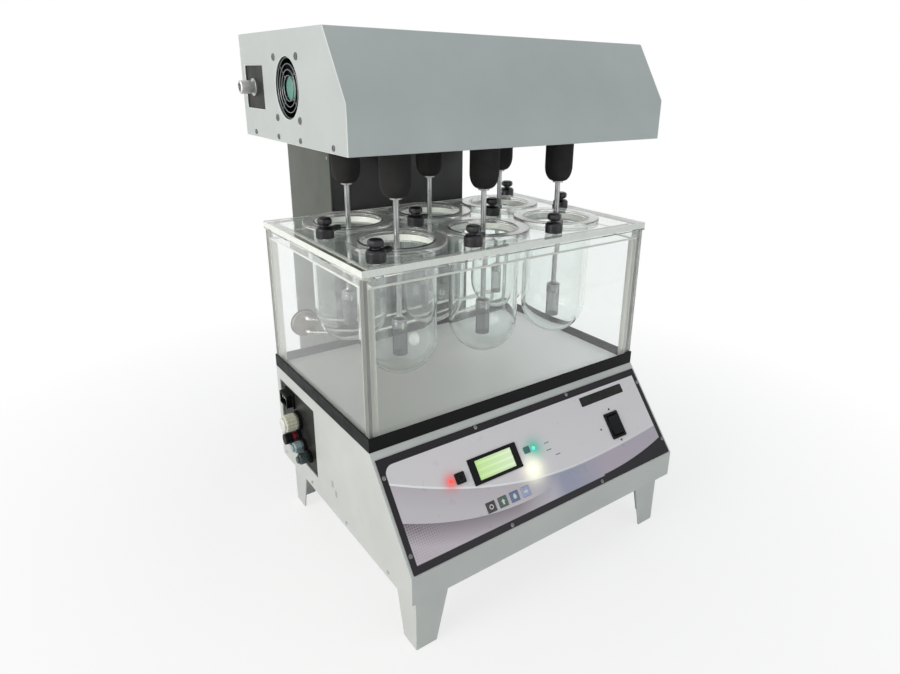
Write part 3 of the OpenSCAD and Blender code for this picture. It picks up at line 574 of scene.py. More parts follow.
def screwHead(radius, height):
    # a dome whose height falls with a power of the distance from its middle, with a cross let into its top
    s = screwShape
    r = np.array(s["rings"])[:, None]
    angle = (np.arange(s["around"]) + 0.5) * 2 * math.pi / s["around"]
    x, y = r * np.cos(angle), r * np.sin(angle)
    inArm, inCross = np.minimum(abs(x), abs(y)) < s["armHalf"], np.maximum(abs(x), abs(y)) < s["armLong"]
    z = height * (1 - (0.5 * (r + 0 * angle)) ** s["curve"] * s["fall"] - s["recess"] * (inArm & inCross))
    top = np.stack((x * radius, y * radius, z), -1).reshape(-1, 3)
    foot = np.column_stack((radius * np.cos(angle), radius * np.sin(angle), 0 * angle - s["sunk"] * height))
    under = [list(range(len(top), len(top) + s["around"]))]
    return np.concatenate((top, foot)), gridFaces(len(r) + 1, s["around"], False, True) + under


def screwRow(name, places, axis, body, slot, radius=2.6 * mm, height=1.3 * mm, look="zincPlate", replaced=()):
    # like screws in one piece, each turned on from the last so that their crosses stand at odds
    first, step = screwShape["turns"]
    parts = [(moved(screwHead(radius, height), place, axis, first + step * k), finish[look])
             for k, place in enumerate(places)]
    newPiece(name, parts, body, 40.0, replaced)


alongSide = cabinetLow[1] + np.array(sheetMetal["floorScrewsAlong"]) * (cabinetHigh[1] - cabinetLow[1])
for name, side, x in (("left", -1, cabinetLow[0]), ("right", 1, cabinetHigh[0])):
    places = [(x, y, cabinetLow[2] + sheetMetal["floorScrewUp"]) for y in alongSide]
    screwRow(f"floor-screws-{name}", places, (side, 0, 0), "root", "bright_steel")
print("cabinet, legs and column dressed")


# Control panel: printed plate, its screws, display, keys, switch and lamps.
# Places are across and down the slope, in mm; a painted glow round a lamp has its place, tint, the tint's
# share, light and width

panelPrint = {
    "borderSide": 8.0, "borderTop": 11.0, "borderFoot": 10.0, "cornerRound": 13.0,
    "face": "#e4dee2", "middle": "#c6bdc4", "low": "#cbbfc8", "lowTop": "#8d828b", "slate": "#9fa1b6",
    "lilac": "#b8aebb", "ink": "#161218", "line": "#ffffff", "dot": "#5d5059",
    "lineTop": 120.0, "lineMiddle": 70.0, "lineBend": 0.00076, "lineBendRight": 0.00026, "lineWide": 3.0,
    "bandTop": 137.0, "bandMiddle": -50.0, "bandBend": 0.00106,
    "sweepTop": 150.0, "sweepStart": 100.0, "sweepBend": 0.00079,
    "dotPitch": 3.4, "dotsEnd": -150.0, "dotSize": 0.42, "dotSmall": 0.35, "dotShare": 0.75,
    "toSlate": (-50.0, 20.0), "toLilac": (40.0, 110.0), "underOver": 34.0, "underEnd": 0.6,
    "bandOver": 30.0, "bandEnds": (-70.0, 0.0), "lineEnds": 190.0, "lineFaint": 0.3, "soft": 0.5,
    "paintedGlowStrength": 0.8, "plateEdge": (0.3 * mm, 2),
    "paintedGlows": (((-157.0, 72.0), "#d8504c", 0.85, "#8a2522", 11.0),
              ((-8.0, 73.0), "#3db5a0", 0.95, "#235e54", 14.5),
              ((-22.0, 100.0), "#fffbec", 0.8, "#d8d2b4", 18.0)),
}

panelLow, panelHigh = slopeBox("control_panel")
faceOut = panelHigh[2]
panelWide = (panelHigh[0] - panelLow[0]) / mm


def slopeMeasures(look):
    # mm across, up the slope and outwards from the middle of its top edge
    where = look.place((mm, mm, mm), tuple(slopeTop), (slopeAngle, 0, 0))
    return look.add("ShaderNodeSeparateXYZ", {0: where}).outputs


def printedFace():
    # x is measured across in mm and s down the slope; every edge of the print gives s for an x
    p = panelPrint
    look = Look("printedFace", p["face"], 0.3)
    split = slopeMeasures(look)
    x, s = split["X"], look.times(split["Y"], -1.0)
    top, foot, half = -panelHigh[1] / mm, -panelLow[1] / mm, panelWide / 2

    def parabola(height, middle, bend):
        away = look.less(x, middle)
        return look.less(height, look.times(look.times(away, away), bend))

    def leftRight(middle, left, right):
        side = look.math("GREATER_THAN", x, middle)
        return look.plus(look.times(side, right), look.times(look.less(1.0, side), left))

    lineAt = leftRight(p["lineMiddle"], parabola(p["lineTop"], p["lineMiddle"], p["lineBend"]),
                       parabola(p["lineTop"], p["lineMiddle"], p["lineBendRight"]))
    bandAt = parabola(p["bandTop"], p["bandMiddle"], p["bandBend"])
    belowLine = look.step(look.less(s, lineAt), p["soft"])
    belowBand = look.step(look.less(s, bandAt), p["soft"])
    # under the line mauve turns to slate by the keys and to lilac at the right; the lower left starts dark
    toSlate = look.range(x, *p["toSlate"], 0.0, 1.0)
    toLilac = look.range(x, *p["toLilac"], 0.0, 1.0)
    slate = look.between(toSlate, tone(p["middle"]), tone(p["slate"]))
    under = look.between(toLilac, slate, tone(p["lilac"]))
    fade = look.larger(look.range(look.less(s, lineAt), 0.0, p["underOver"], 1.0, p["underEnd"]), toSlate)
    colour = look.between(look.times(belowLine, fade), tone(p["face"]), under)
    depth = look.range(look.less(s, bandAt), 0.0, p["bandOver"], 1.0, 0.0)
    low = look.between(depth, tone(p["low"]), tone(p["lowTop"]))
    colour = look.between(look.times(belowBand, look.range(x, *p["bandEnds"], 1.0, 0.0)), colour, low)
    cell = [look.less(look.math("FRACT", look.times(v, 1 / p["dotPitch"])), 0.5) for v in (x, s)]
    spread = look.math("SQRT", look.squares(*cell))
    # the dots shrink to nothing at their end, and are smaller further down
    size = look.times(look.range(x, -half + p["borderSide"], p["dotsEnd"], p["dotSize"], 0.0),
                      look.range(depth, 0.0, 1.0, p["dotSmall"], 1.0))
    dots = look.times(look.step(look.less(size, spread), 0.12), belowBand)
    colour = look.between(look.times(dots, p["dotShare"]), colour, tone(p["dot"]))
    onLine = look.less(p["lineWide"] / 2, look.math("ABSOLUTE", look.less(s, lineAt)))
    lineFade = look.range(x, -half, p["lineEnds"], 1.0, p["lineFaint"])
    colour = look.between(look.times(look.step(onLine, 0.6), lineFade), colour, tone(p["line"]))
    # the dark border: outside a rectangle with a round upper left corner, or below the sweep at the right
    left = look.less(-half + p["borderSide"], x)
    right = look.less(x, half - p["borderSide"])
    above = look.less(top + p["borderTop"], s)
    below = look.less(s, foot - p["borderFoot"])
    inX = look.larger(look.plus(left, p["cornerRound"]), 0.0)
    inS = look.larger(look.plus(above, p["cornerRound"]), 0.0)
    corner = look.less(look.math("SQRT", look.squares(inX, inS)), p["cornerRound"])
    outside = look.larger(look.larger(corner, right), look.larger(above, below))
    sweep = look.less(s, parabola(p["sweepTop"], p["sweepStart"], p["sweepBend"]))
    sweep = look.smaller(sweep, look.less(x, p["sweepStart"]))
    dark = look.step(look.larger(outside, sweep), p["soft"])
    colour = look.between(dark, colour, tone(p["ink"]))
    look.set("Specular IOR Level", look.range(dark, 0.0, 1.0, 0.5, 0.25))
    # painted light round the lamps: the film takes their tint and a glow round each of them
    paintedGlow = None
    for place, tint, share, light, wide in p["paintedGlows"]:
        dx, ds = look.less(x, place[0]), look.less(s, place[1])
        near = look.math("POWER", math.e, look.times(look.squares(dx, ds), -1 / wide ** 2))
        colour = look.between(look.times(near, share), colour, tone(tint))
        lit = look.between(near, (0.0, 0.0, 0.0, 1.0), tone(light))
        if paintedGlow is not None:
            both = {0: 1.0, 6: paintedGlow, 7: lit}
            lit = look.add("ShaderNodeMix", both, data_type="RGBA", blend_type="ADD").outputs[2]
        paintedGlow = lit
    look.set("Base Color", colour)
    look.set("Emission Color", paintedGlow)
    look.set("Emission Strength", p["paintedGlowStrength"])
    look.set("Roughness", look.range(look.noise(40.0, 3.0), 0.3, 0.7, 0.26, 0.38))
    look.bump(look.noise(2200.0, 2.0), 0.00002, 0.3)
    return look.material


def lamp(name, colour, strength):
    look = Look(name, colour, 0.2, Transmission_Weight=0.3)
    look.set("Emission Color", tone(colour))
    look.set("Emission Strength", strength)
    look.bump(look.noise(900.0), 0.00003, 0.3)
    return look.material


def displayFace():
    # rows of cells, a little darker than the lit glass between them, whose light pales towards the right
    d = display
    look = Look("displayFace", "#a6cf7a", 0.18)
    split = slopeMeasures(look)
    cells = []
    for value, pitch, fill in ((split["X"], *d["cellAcross"]), (split["Y"], *d["cellUp"])):
        part = look.math("ABSOLUTE", look.less(look.math("FRACT", look.times(value, 1 / pitch)), 0.5))
        cells.append(look.step(look.less(fill / 2, part), d["cellSoft"]))
    cell = look.times(look.times(cells[0], cells[1]), d["cellShare"])
    across = look.range(split["X"], displayLow[0] / mm, displayHigh[0] / mm, 0.0, 1.0)
    lit = look.between(across, tone(d["litLeft"]), tone(d["litRight"]))
    look.set("Base Color", look.between(cell, tone(d["glass"]), tone(d["cell"])))
    look.set("Emission Color", look.between(cell, lit, tone(d["litCell"])))
    look.set("Emission Strength", d["strength"])
    look.bump(look.noise(700.0), 0.00001, 0.2)
    return look.material


dressed("control_panel", printedFace(), panelPrint["plateEdge"])
panelScrews = {"side": 3.5 * mm, "sideHigh": 25 * mm, "sideLow": 24 * mm, "share": 0.18, "high": 3.5 * mm,
               "low": 4 * mm, "radius": 2.9 * mm, "height": 1.3 * mm}
sideHalf = panelHigh[0] - panelScrews["side"]
rowHalf = panelScrews["share"] * (panelHigh[0] - panelLow[0])
screwPlaces = [(side * half, up, faceOut) for side in (-1, 1) for half, up in (
    (sideHalf, panelHigh[1] - panelScrews["sideHigh"]), (sideHalf, panelLow[1] + panelScrews["sideLow"]),
    (rowHalf, panelHigh[1] - panelScrews["high"]), (rowHalf, panelLow[1] + panelScrews["low"]))]
screwRow("panel-screw-heads", onSlope(screwPlaces), tuple(slopeOut), "root", "bright_steel",
         panelScrews["radius"], panelScrews["height"], "dullSteel", ("panel_screws",))


def slopePart(shape):
    return onSlope(shape[0]), shape[1]


# the glass is centred over the row of keys; a cell has its pitch in mm and the share of it that is filled
display = {"down": 72 * mm, "glassHalf": (32.5 * mm, 14 * mm), "glassProud": 0.5 * mm, "glassDeep": 1.2 * mm,
           "glassEdge": 0.25 * mm, "bezel": (0.9 * mm, 3), "cellAcross": (3.6, 0.8), "cellUp": (9.0, 0.62),
           "cellSoft": 0.08, "cellShare": 0.3, "glass": "#a9c48a", "cell": "#8ba371", "litLeft": "#b9e08a",
           "litRight": "#eef6e6", "litCell": "#9cb97c", "strength": 0.55}
keyRow = [slopeBox(f"button_{k}") for k in (1, 4)]
displayCentre = np.array((np.mean([low[0] + high[0] for low, high in keyRow]) / 2, -display["down"]))
displayLow = np.array((*(displayCentre - display["glassHalf"]), faceOut - display["glassDeep"]))
displayHigh = np.array((*(displayCentre + display["glassHalf"]), faceOut + display["glassProud"]))
dressed("display_board", finish["trimBlack"], display["bezel"])
glass = slopePart(roundedBox(displayLow, displayHigh, display["glassEdge"]))
newPiece("display-glass", [(glass, displayFace())], "root")

keys = {"caps": (("#2b262b", "ring"), ("#47605a", "up"), ("#66759b", "drop"), ("#a3abd0", "right")),
        "edge": (0.6 * mm, 2), "iconHigh": 0.12 * mm, "iconSunk": 0.02 * mm, "icon": 4.0 * mm,
        "iconCorner": 0.08, "ring": (0.55, 0.85),
        "arrow": ((0, 1), (0.9, 0.05), (0.35, 0.05), (0.35, -1), (-0.35, -1), (-0.35, 0.05),
                  (-0.9, 0.05)),
        "drop": (0.72, 0.45, -0.12)}


def iconOutline(kind):
    # the arrow, also with its sides changed over so that it points right, or a circle drawn up to a blunt tip
    arrow = np.array(keys["arrow"])[::-1]
    if kind == "up":
        return softened(arrow, keys["iconCorner"], 3, True) * keys["icon"]
    if kind == "right":
        return softened(arrow[:, ::-1][::-1], keys["iconCorner"], 3, True) * keys["icon"]
    radius, tip, low = keys["drop"]
    turn = np.arange(28) * 2 * math.pi / 28
    pull = tip * np.maximum(np.sin(turn), 0) ** 3
    return keys["icon"] * np.stack((radius * np.cos(turn), radius * np.sin(turn) + pull + low), 1)


for number, (capColour, icon) in enumerate(keys["caps"], 1):
    cap = mouldedPlastic(f"keyCap{number}", capColour, capColour, 0.3)
    dressed(f"button_{number}", cap, keys["edge"])
    low, high = slopeBox(f"button_{number}")
    if icon == "ring":
        inner, outer = keys["ring"]
        band = np.array(((inner, 0), (outer, 0), (outer, 1), (inner, 1))) * (keys["icon"], keys["iconHigh"])
        shape = shifted(turned(band, 40, True), (0, 0, -keys["iconSunk"]))
    else:
        shape = plate(iconOutline(icon), -keys["iconSunk"], keys["iconHigh"])
    shape = slopePart(shifted(shape, (*(low + high)[:2] / 2, high[2])))
    newPiece(f"key-mark-{number}", [(shape, finish["whitePlastic"])], f"key_{number}")

switch = {"frameEdge": (0.8 * mm, 3), "rockerEdge": (0.7 * mm, 3)}
dressed("switch_frame", finish["trimBlack"], switch["frameEdge"])
dressed("lift_switch", finish["trimBlack"], switch["rockerEdge"])


def onPanel(x, s):
    # a place on the panel's face, at x across and s down the slope in mm
    return np.array((x * mm, -s * mm, faceOut))


def panelMark(name, outline, place, height, look, edge=0.0):
    # a flat outline raised off the panel's face, and a little way into it
    shape = shifted(plate(outline, -marks["deep"], height, edge), onPanel(*place))
    newPiece(name, [(slopePart(shape), finish[look])], "root")


# marks have their places, sizes and the round of their corners in mm
marks = {"title": (160.0, 35.0), "titleSize": (97.0, 15.0), "titleRound": 2.2, "titleHigh": 0.5 * mm,
         "titleEdge": 0.15 * mm, "arrows": (("up", 1, (162.5, 60.5)), ("down", -1, (162.5, 113.0))),
         "arrow": ((-2.6, -1.5), (2.6, -1.5), (0.0, 2.4)), "arrowRound": 0.4, "dot": (130.0, 86.0),
         "dotRadius": 1.6, "high": 0.15 * mm, "bars": ((18.0, 72.0), (18.0, 83.0), (31.0, 94.0)),
         "barSize": (9.0, 1.3), "barHigh": 0.12 * mm, "square": (-21.0, 71.0),
         "squareSize": (11.0, 10.0), "squareRound": 1.2, "squareHigh": 1.2 * mm, "squareEdge": 0.3 * mm,
         "deep": 0.05 * mm}
titleOutline = softened(rectangle(*marks["titleSize"]), marks["titleRound"], 5, True) * mm
panelMark("title-plate", titleOutline, marks["title"], marks["titleHigh"], "darkPlate",
          marks["titleEdge"])
for name, flip, place in marks["arrows"]:
    arrow = softened((np.array(marks["arrow"]) * (1, flip))[::flip], marks["arrowRound"], 3, True) * mm
    panelMark(f"switch-mark-{name}", arrow, place, marks["high"], "darkPlate")
panelMark("switch-mark-middle", ring(marks["dotRadius"] * mm, 24), marks["dot"], marks["high"], "darkPlate")
for number, place in enumerate(marks["bars"], 1):
    panelMark(f"lamp-mark-{number}", rectangle(*marks["barSize"]) * mm, place, marks["barHigh"], "barTeal")

# the holder left of the display: a round-cornered block with a ring and a dark dome
lampHolder = {"place": (-142.0, 72.0), "size": 15.5, "height": 3.2, "deep": 1.0, "round": 1.6 * mm,
              "ring": ((3.6, 2.9), (5.4, 2.9), (5.4, 3.9), (4.4, 4.1), (3.6, 3.4)), "ringRound": 0.3,
              "dome": ((3.8, 2.9), (3.6, 3.5), (2.6, 3.9), (1.2, 4.1), (0, 4.15))}
holderHalf = lampHolder["size"] / 2
holderBox = roundedBox(np.array((-holderHalf, -holderHalf, -lampHolder["deep"])) * mm,
                       np.array((holderHalf, holderHalf, lampHolder["height"])) * mm, lampHolder["round"], 4)
socketRing = turned(softened(lampHolder["ring"], lampHolder["ringRound"], 3, True) * mm, 40, True)
socketDome = turned(np.array(lampHolder["dome"]) * mm, 32)
holderParts = ((holderBox, "trimBlack"), (socketRing, "darkPlate"), (socketDome, "trimBlack"))
holderPlace = onPanel(*lampHolder["place"])
holderParts = [(slopePart(shifted(shape, holderPlace)), finish[look]) for shape, look in holderParts]
newPiece("lamp-holder", holderParts, "root")

# lamps: name, place, radius, colour and strength
lamps = {"stem": 0.5, "sunk": 0.2, "rim": 1.15,
         "each": (("lampRed", (-157.0, 72.0), 2.0, "#ff2f2a", 3.0),
                  ("lampCyan", (-8.0, 72.0), 1.8, "#35d9c2", 2.2),
                  ("lampWhite", (-22.0, 100.0), 1.8, "#fff6d8", 1.8))}


def lampDome(radius):
    # a half ball on a short wider stem
    a = np.linspace(0, math.pi / 2, 9)
    ball = np.stack((radius * np.cos(a), lamps["stem"] + radius * np.sin(a)), 1)
    stem = ((radius * lamps["rim"], -lamps["sunk"]), (radius * lamps["rim"], lamps["stem"]))
    return turned(np.concatenate((stem, ball)) * mm, 28)


for name, place, radius, colour, strength in lamps["each"]:
    shape = slopePart(shifted(lampDome(radius), onPanel(*place)))
    look = lamp(name, colour, strength)
    newPiece(name.replace("lamp", "lamp-").lower(), [(shape, look)], "root")
squareOutline = softened(rectangle(*marks["squareSize"]), marks["squareRound"], 4, True) * mm
panelMark("lamp-square", squareOutline, marks["square"], marks["squareHigh"], "lampTeal",
          marks["squareEdge"])
print("control panel printed and fitted")


# Bath: slabs of clear sheet that butt at the corners, with sawn edges that catch the light

bath = {"wall": 8 * mm, "gap": 0.1 * mm, "edge": 0.5 * mm, "strip": 9 * mm, "stripEdge": 0.8 * mm,
        "floorThick": 8 * mm, "floorEdge": 0.4 * mm, "lidEdge": (0.4 * mm, 2), "brightTop": 9 * mm,
        "brightFoot": 1.7 * mm}


def fromBath(x, y, z):
    # mm across from the bath's middle, back from its front and up from its foot, as a place in the frame
    return np.array(((trimLow[0] + trimHigh[0]) / 2 + x * mm, trimLow[1] + y * mm, trimLow[2] + z * mm))


def slab(low, high, broad):
    # a rounded box whose two faces across the broad direction are clear and whose other faces are cut edges
    points, faces = roundedBox(low, high, bath["edge"], 2)
    middle = (np.asarray(low) + high)[broad] / 2
    reach = abs(np.asarray(high) - low)[broad] / 2 - 1e-6
    flat = [(abs(points[face, broad] - middle) > reach).all() for face in faces]
    return [((points, [face for face, isFlat in zip(faces, flat) if isFlat == wanted]), finish[look])
            for wanted, look in ((True, "clearAcrylic"), (False, "cornerAcrylic"))]


tankLow, tankHigh = box("tank")
lidLow, lidHigh = box("tank_lid")
wall, gap = bath["wall"], bath["gap"]
inLow, inHigh = tankLow + (wall, wall, 0), tankHigh - (wall, wall, 0)
walls = []
for y0, y1 in ((tankLow[1], inLow[1]), (inHigh[1], tankHigh[1])):
    walls += slab((tankLow[0], y0, tankLow[2]), (tankHigh[0], y1, tankHigh[2] - gap), 1)
for x0, x1 in ((tankLow[0], inLow[0]), (inHigh[0], tankHigh[0])):
    walls += slab((x0, inLow[1] + gap, tankLow[2]), (x1, inHigh[1] - gap, tankHigh[2] - gap), 0)
newPiece("tank-walls", walls, "root", 50.0, ("tank",))
floorTop = tankLow[2] + bath["floorThick"]
floorSheet = roundedBox((inLow[0] + gap, inLow[1] + gap, tankLow[2] + gap),
                        (inHigh[0] - gap, inHigh[1] - gap, floorTop), bath["floorEdge"])
# the floor sheet's look holds painted shade at the left and a painted glow at the right
newPiece("tank-floor", [(floorSheet, finish["milkyFloorPaintedShadeAndGlow"])], "root", 50.0, ("tank",))
posts = []
for x0, towards in ((inLow[0] + gap, 1), (inHigh[0] - gap, -1)):
    for y0, back in ((inLow[1] + 2 * gap, 1), (inHigh[1] - 2 * gap, -1)):
        corner = np.array((x0, y0, floorTop + gap))
        reach = np.array((towards * bath["strip"], back * bath["strip"], 0))
        post = roundedBox(corner, corner + reach + (0, 0, lidLow[2] - corner[2] - gap), bath["stripEdge"])
        posts.append((post, finish["cornerAcrylic"]))
newPiece("tank-corner-strips", posts, "root", 50.0, ("tank",))


def lidPiece():
    # the lid's own mesh, with its cut edge pale and given a painted glow at the top and along the foot of the
    # strips below
    mesh = dressed("tank_lid", finish["clearAcrylic"], bath["lidEdge"]).data
    mesh.materials.append(finish["sawnAcrylicPaintedGlow"])
    clearLow, clearHigh = lidLow[2] + bath["brightFoot"], lidHigh[2] - bath["brightTop"]
    work = bmesh.new()
    work.from_mesh(mesh)
    for level in (clearLow, clearHigh):
        bmesh.ops.bisect_plane(work, geom=work.verts[:] + work.edges[:] + work.faces[:], dist=1e-6,
                               plane_co=(0, 0, level), plane_no=(0, 0, 1))
    work.to_mesh(mesh)
    work.free()
    for face in mesh.polygons:
        edge = abs(face.normal.z) < 0.9 and face.center.z > clearHigh
        face.material_index = 1 if edge or face.center.z < clearLow else 0


lidPiece()
print("bath built")

# Vessels: blown wall with a round bowl and a ground flange that hangs on the lid
vesselShape = {"radius": 51.0, "wall": 2.5, "flange": 70.0, "flangeThick": 6.0, "lift": 0.1, "round": 1.6,
               "straight": 20.0, "around": 96}
vesselLow, vesselHigh = box("vessels")
spindlePlaces = [np.array(joints[f"spindle_{number}"]["pos_m"]) for number in range(1, 7)]


def vesselProfile():
    # r and z of the glass from the pole under the bowl, up outside, round the flange and down inside
    v = vesselShape
    inside, outside = v["radius"], v["radius"] + v["wall"]
    top, foot = vesselHigh[2] / mm, vesselLow[2] / mm
    centre = foot + outside
    arc = np.linspace(-math.pi / 2, 0, 25)
    outer = np.stack((outside * np.cos(arc), centre + outside * np.sin(arc)), 1)
    inner = np.stack((inside * np.cos(arc), centre + inside * np.sin(arc)), 1)[::-1]
    under = top - v["flangeThick"] + v["lift"]
    straight, upper = centre + v["straight"], top - v["lift"]
    flange = softened(((outside, straight), (outside, under), (v["flange"], under), (v["flange"], upper),
                       (inside, upper), (inside, straight)), v["round"], 4)
    return np.concatenate((outer, flange, inner)) * mm


profile = vesselProfile()
# the flange's own faces are ground, and the rest is clear
inFlange = profile[:, 1] > vesselHigh[2] - vesselShape["flangeThick"] * mm
ground = np.repeat(inFlange[:-1] & inFlange[1:], vesselShape["around"])
for number, (x, y, _) in enumerate(spindlePlaces, 1):
    points, faces = moved(turned(profile, vesselShape["around"]), (x, y, 0))
    newPiece(f"vessel-{number}",
             [((points, [face for face, isGround in zip(faces, ground) if isGround == wanted]), finish[look])
              for wanted, look in ((False, "vesselGlass"), (True, "groundGlass"))],
             "root", 50.0, ("vessels",))

# Heater: one bent tube with both ends in the boss on the back wall
heater = {"across": -199.0, "up": 70.0, "step": 11.5, "back": 305.0, "drop": 21.0, "runIn": 84.0,
          "far": 185.0, "radius": 4.0, "bend": 14.0, "halfTurn": 11.4, "innerWall": 324.0,
          "inBoss": 4.0, "boss": ((0, -6), (22, -6), (22, 0), (8, 0), (8, 15), (0, 15)),
          "bossRound": (0, 1.6, 0, 0, 0.6, 0),
          "gasket": ((20.5, -1.8), (23.4, -1.8), (23.4, -0.05), (20.5, -0.05)), "gasketRound": 0.7,
          "nut": ((8.2, 2.1), (11.5, 2.1), (11.5, 6.2), (8.2, 6.2)), "nutRound": 0.6, "nutOut": 8 * mm,
          "askew": (0.4, 0.5, 0.77)}


def heaterTube():
    # a round bar carried along one path from the boss, along the bath, round a half turn and back; the
    # direction that squares its outline is never along the path
    h = heater
    run = np.array(((h["across"], h["innerWall"] - h["inBoss"], 0), (h["across"], h["back"], 0),
                    (h["across"] + h["runIn"], h["back"], -h["drop"]), (h["far"], h["back"], -h["drop"])))
    path = np.concatenate((run + (0, 0, h["up"] + h["step"]), run[::-1] + (0, 0, h["up"] - h["step"])))
    bends = [h["bend"] if k in (1, 2, 5, 6) else h["halfTurn"] for k in range(len(path))]
    path = softened(path, bends, 10)
    path = path[np.concatenate(((True,), np.linalg.norm(np.diff(path, axis=0), axis=1) > 1e-4))]
    return carried(ring(h["radius"] * mm, 20), [fromBath(*p) for p in path], h["askew"])


bossAt = fromBath(heater["across"], heater["innerWall"], heater["up"])
boss = solidOfTurning(heater["boss"], heater["bossRound"])
gasket = turned(softened(heater["gasket"], heater["gasketRound"], 3, True) * mm, 48, True)
nut = turned(softened(heater["nut"], heater["nutRound"], 3, True) * mm, 6, True)
newPiece("heater", [(heaterTube(), finish["heaterSteel"]),
                    (moved(boss, bossAt, (0, 1, 0)), finish["bossMetal"]),
                    (moved(gasket, bossAt, (0, 1, 0)), finish["rubber"]),
                    (moved(nut, bossAt + (0, heater["nutOut"], 0), (0, 1, 0)), finish["zincPlate"])],
         "root", 40.0, ("heater_tube",))
print("vessels hung and heater fitted")

# Clamps: body, neck and ridged knob on a stud through the lid, with a toe over the flange
clamp = {"radius": 13.0, "high": 16.0, "slope": 3.0, "neck": 4.8, "neckHigh": 2.5, "knob": 10.5,
         "knobHigh": 10.5, "knobSlope": 2.4, "knobRise": 2.5, "ridges": 8, "ridgeDeep": 0.1,
         "toeFrom": 6.0, "toeLong": 36.0, "toeWide": 10.0, "toeLow": 6.3, "toeHigh": 12.3,
         "toeEdge": 0.6, "stud": 4.0, "studDown": 10.0, "studUp": 1.0, "sunk": 0.5, "clear": 0.02}


def clampPiece(number):
    c = clamp
    radius, high, neck, foot = c["radius"], c["high"], c["neck"], c["high"] + c["neckHigh"]
    knob, shoulder, top = c["knob"], c["knob"] - c["knobSlope"], foot + c["knobHigh"]
    body = solidOfTurning(((0, c["clear"]), (radius, c["clear"]), (radius, high - c["slope"]),
                           (radius - c["slope"], high), (neck, high), (neck, foot + c["sunk"]),
                           (0, foot + c["sunk"])), (0, 0.8, 1.2, 1.2, 1.0, 0, 0))
    grip = ((0, foot), (shoulder, foot), (knob, foot + c["knobRise"]), (knob, top - c["knobRise"]),
            (shoulder, top), (0, top))
    grip = solidOfTurning(grip, (0, 1, 1.5, 1.5, 1.2, 0), 3, 80, c["ridges"], c["ridgeDeep"])
    stud = solidOfTurning(((0, -c["studDown"]), (c["stud"], -c["studDown"]), (c["stud"], c["studUp"]),
                           (0, c["studUp"])), 0.5, 2, 28)
    # the toe's outline is two straight sides and a half circle at the far end
    turn = np.linspace(-math.pi / 2, math.pi / 2, 13)
    half = c["toeWide"] / 2
    tip = np.stack((c["toeLong"] - half + half * np.cos(turn), half * np.sin(turn)), 1)
    outline = np.concatenate((((c["toeFrom"], -half),), tip, ((c["toeFrom"], half),)))
    toe = plate(outline * mm, c["toeLow"] * mm, c["toeHigh"] * mm, c["toeEdge"] * mm)
    place = np.array(joints[f"hold_{number}"]["pos_m"])
    reach = nodePoints(f"clamp_{number}") - place
    far = reach[np.argmax(np.hypot(reach[:, 0], reach[:, 1]))]
    twist = math.atan2(far[1], far[0])
    parts = [(moved(shape, place, (0, 0, 1), twist), finish["clampBlack"])
             for shape in (body, grip, toe, stud)]
    newPiece(f"vessel-clamp-{number}", parts, f"hold_{number}", 38.0, (f"clamp_{number}",))


for number in range(1, 9):
    clampPiece(number)
print("clamps fitted")

# Spindles: sleeve under the head, bar with its pulley, shaft with its collar and carrier, woven basket.
# Heights are in mm from the lid's top
spindle = {"sleeve": 22.0, "sleeveFoot": 63.0, "sleeveTop": 135.0, "noseWide": 13.0, "noseHigh": 23.0,
           "bore": 4.45, "boreEdge": 0.6, "boreTop": 123.4, "socket": 6.0, "rimEdge": 1.0, "bar": 10.0,
           "barTop": 189.0, "barRound": 0.8, "pulleyLow": 167.0, "pulleyHigh": 181.0, "pulley": 19.7,
           "pulleyIn": 0.5, "rim": 21.5, "rimThick": 2.0, "crown": 0.4, "shaft": 4.0, "collar": 8.5,
           "collarThick": 2.5, "carrierFoot": -121.0, "carrierHigh": 14.0, "clips": 3,
           "clipLow": (-1.0, -1.6, -3.0), "clipHigh": (0.5, 1.6, 7.0), "clipTurn": 0.4, "basket": 11.0,
           "basketFoot": -165.0, "basketHigh": 44.0}
# the baskets' wires: uprights, hoops woven round them, crossed rows in the bottom and a band at each end
weave = {"wire": 0.34, "inOut": 0.28, "uprights": 32, "hoops": 20, "along": 64, "inset": 0.75,
         "hoopFrom": 2.2, "crossed": 11, "crossPitch": 1.72, "crossUp": 0.75, "crossStep": 0.3,
         "bands": ((0.05, 1.5), (41.6, 2.35)), "bandIn": 0.55, "bandOut": 0.72, "bandRound": 0.3}


def onSpindle(shape, number, twist=0.0):
    # a shape that is made round the z axis, with its heights from the lid's top, on its own spindle
    x, y, _ = spindlePlaces[number - 1]
    return moved(shape, (x, y, lidHigh[2]), twist=twist)


def sleevePiece(number):
    # a tube with a quarter ellipse for its nose, open at the top round the bore
    s = spindle
    foot, top, r, bore = s["sleeveFoot"], s["sleeveTop"], s["sleeve"], s["bore"]
    socket = bore + s["socket"]
    arc = np.linspace(0, math.pi / 2, 13)
    nose = np.stack((r + s["noseWide"] * (np.cos(arc) - 1), foot + s["noseHigh"] * (1 - np.sin(arc))), 1)
    inside = ((bore + s["boreEdge"], foot), (bore, foot + s["boreEdge"]), (bore, s["boreTop"]),
              (socket, s["boreTop"]), (socket, top - s["boreEdge"]), (socket + s["boreEdge"], top),
              (r - s["rimEdge"], top), (r, top - s["rimEdge"]))
    shape = onSpindle(turned(np.concatenate((nose, inside)) * mm, 64, True), number)
    newPiece(f"chuck-sleeve-{number}", [(shape, finish["sleeveBlack"])], f"spindle_{number}",
             45.0, (f"chuck_{number}",))


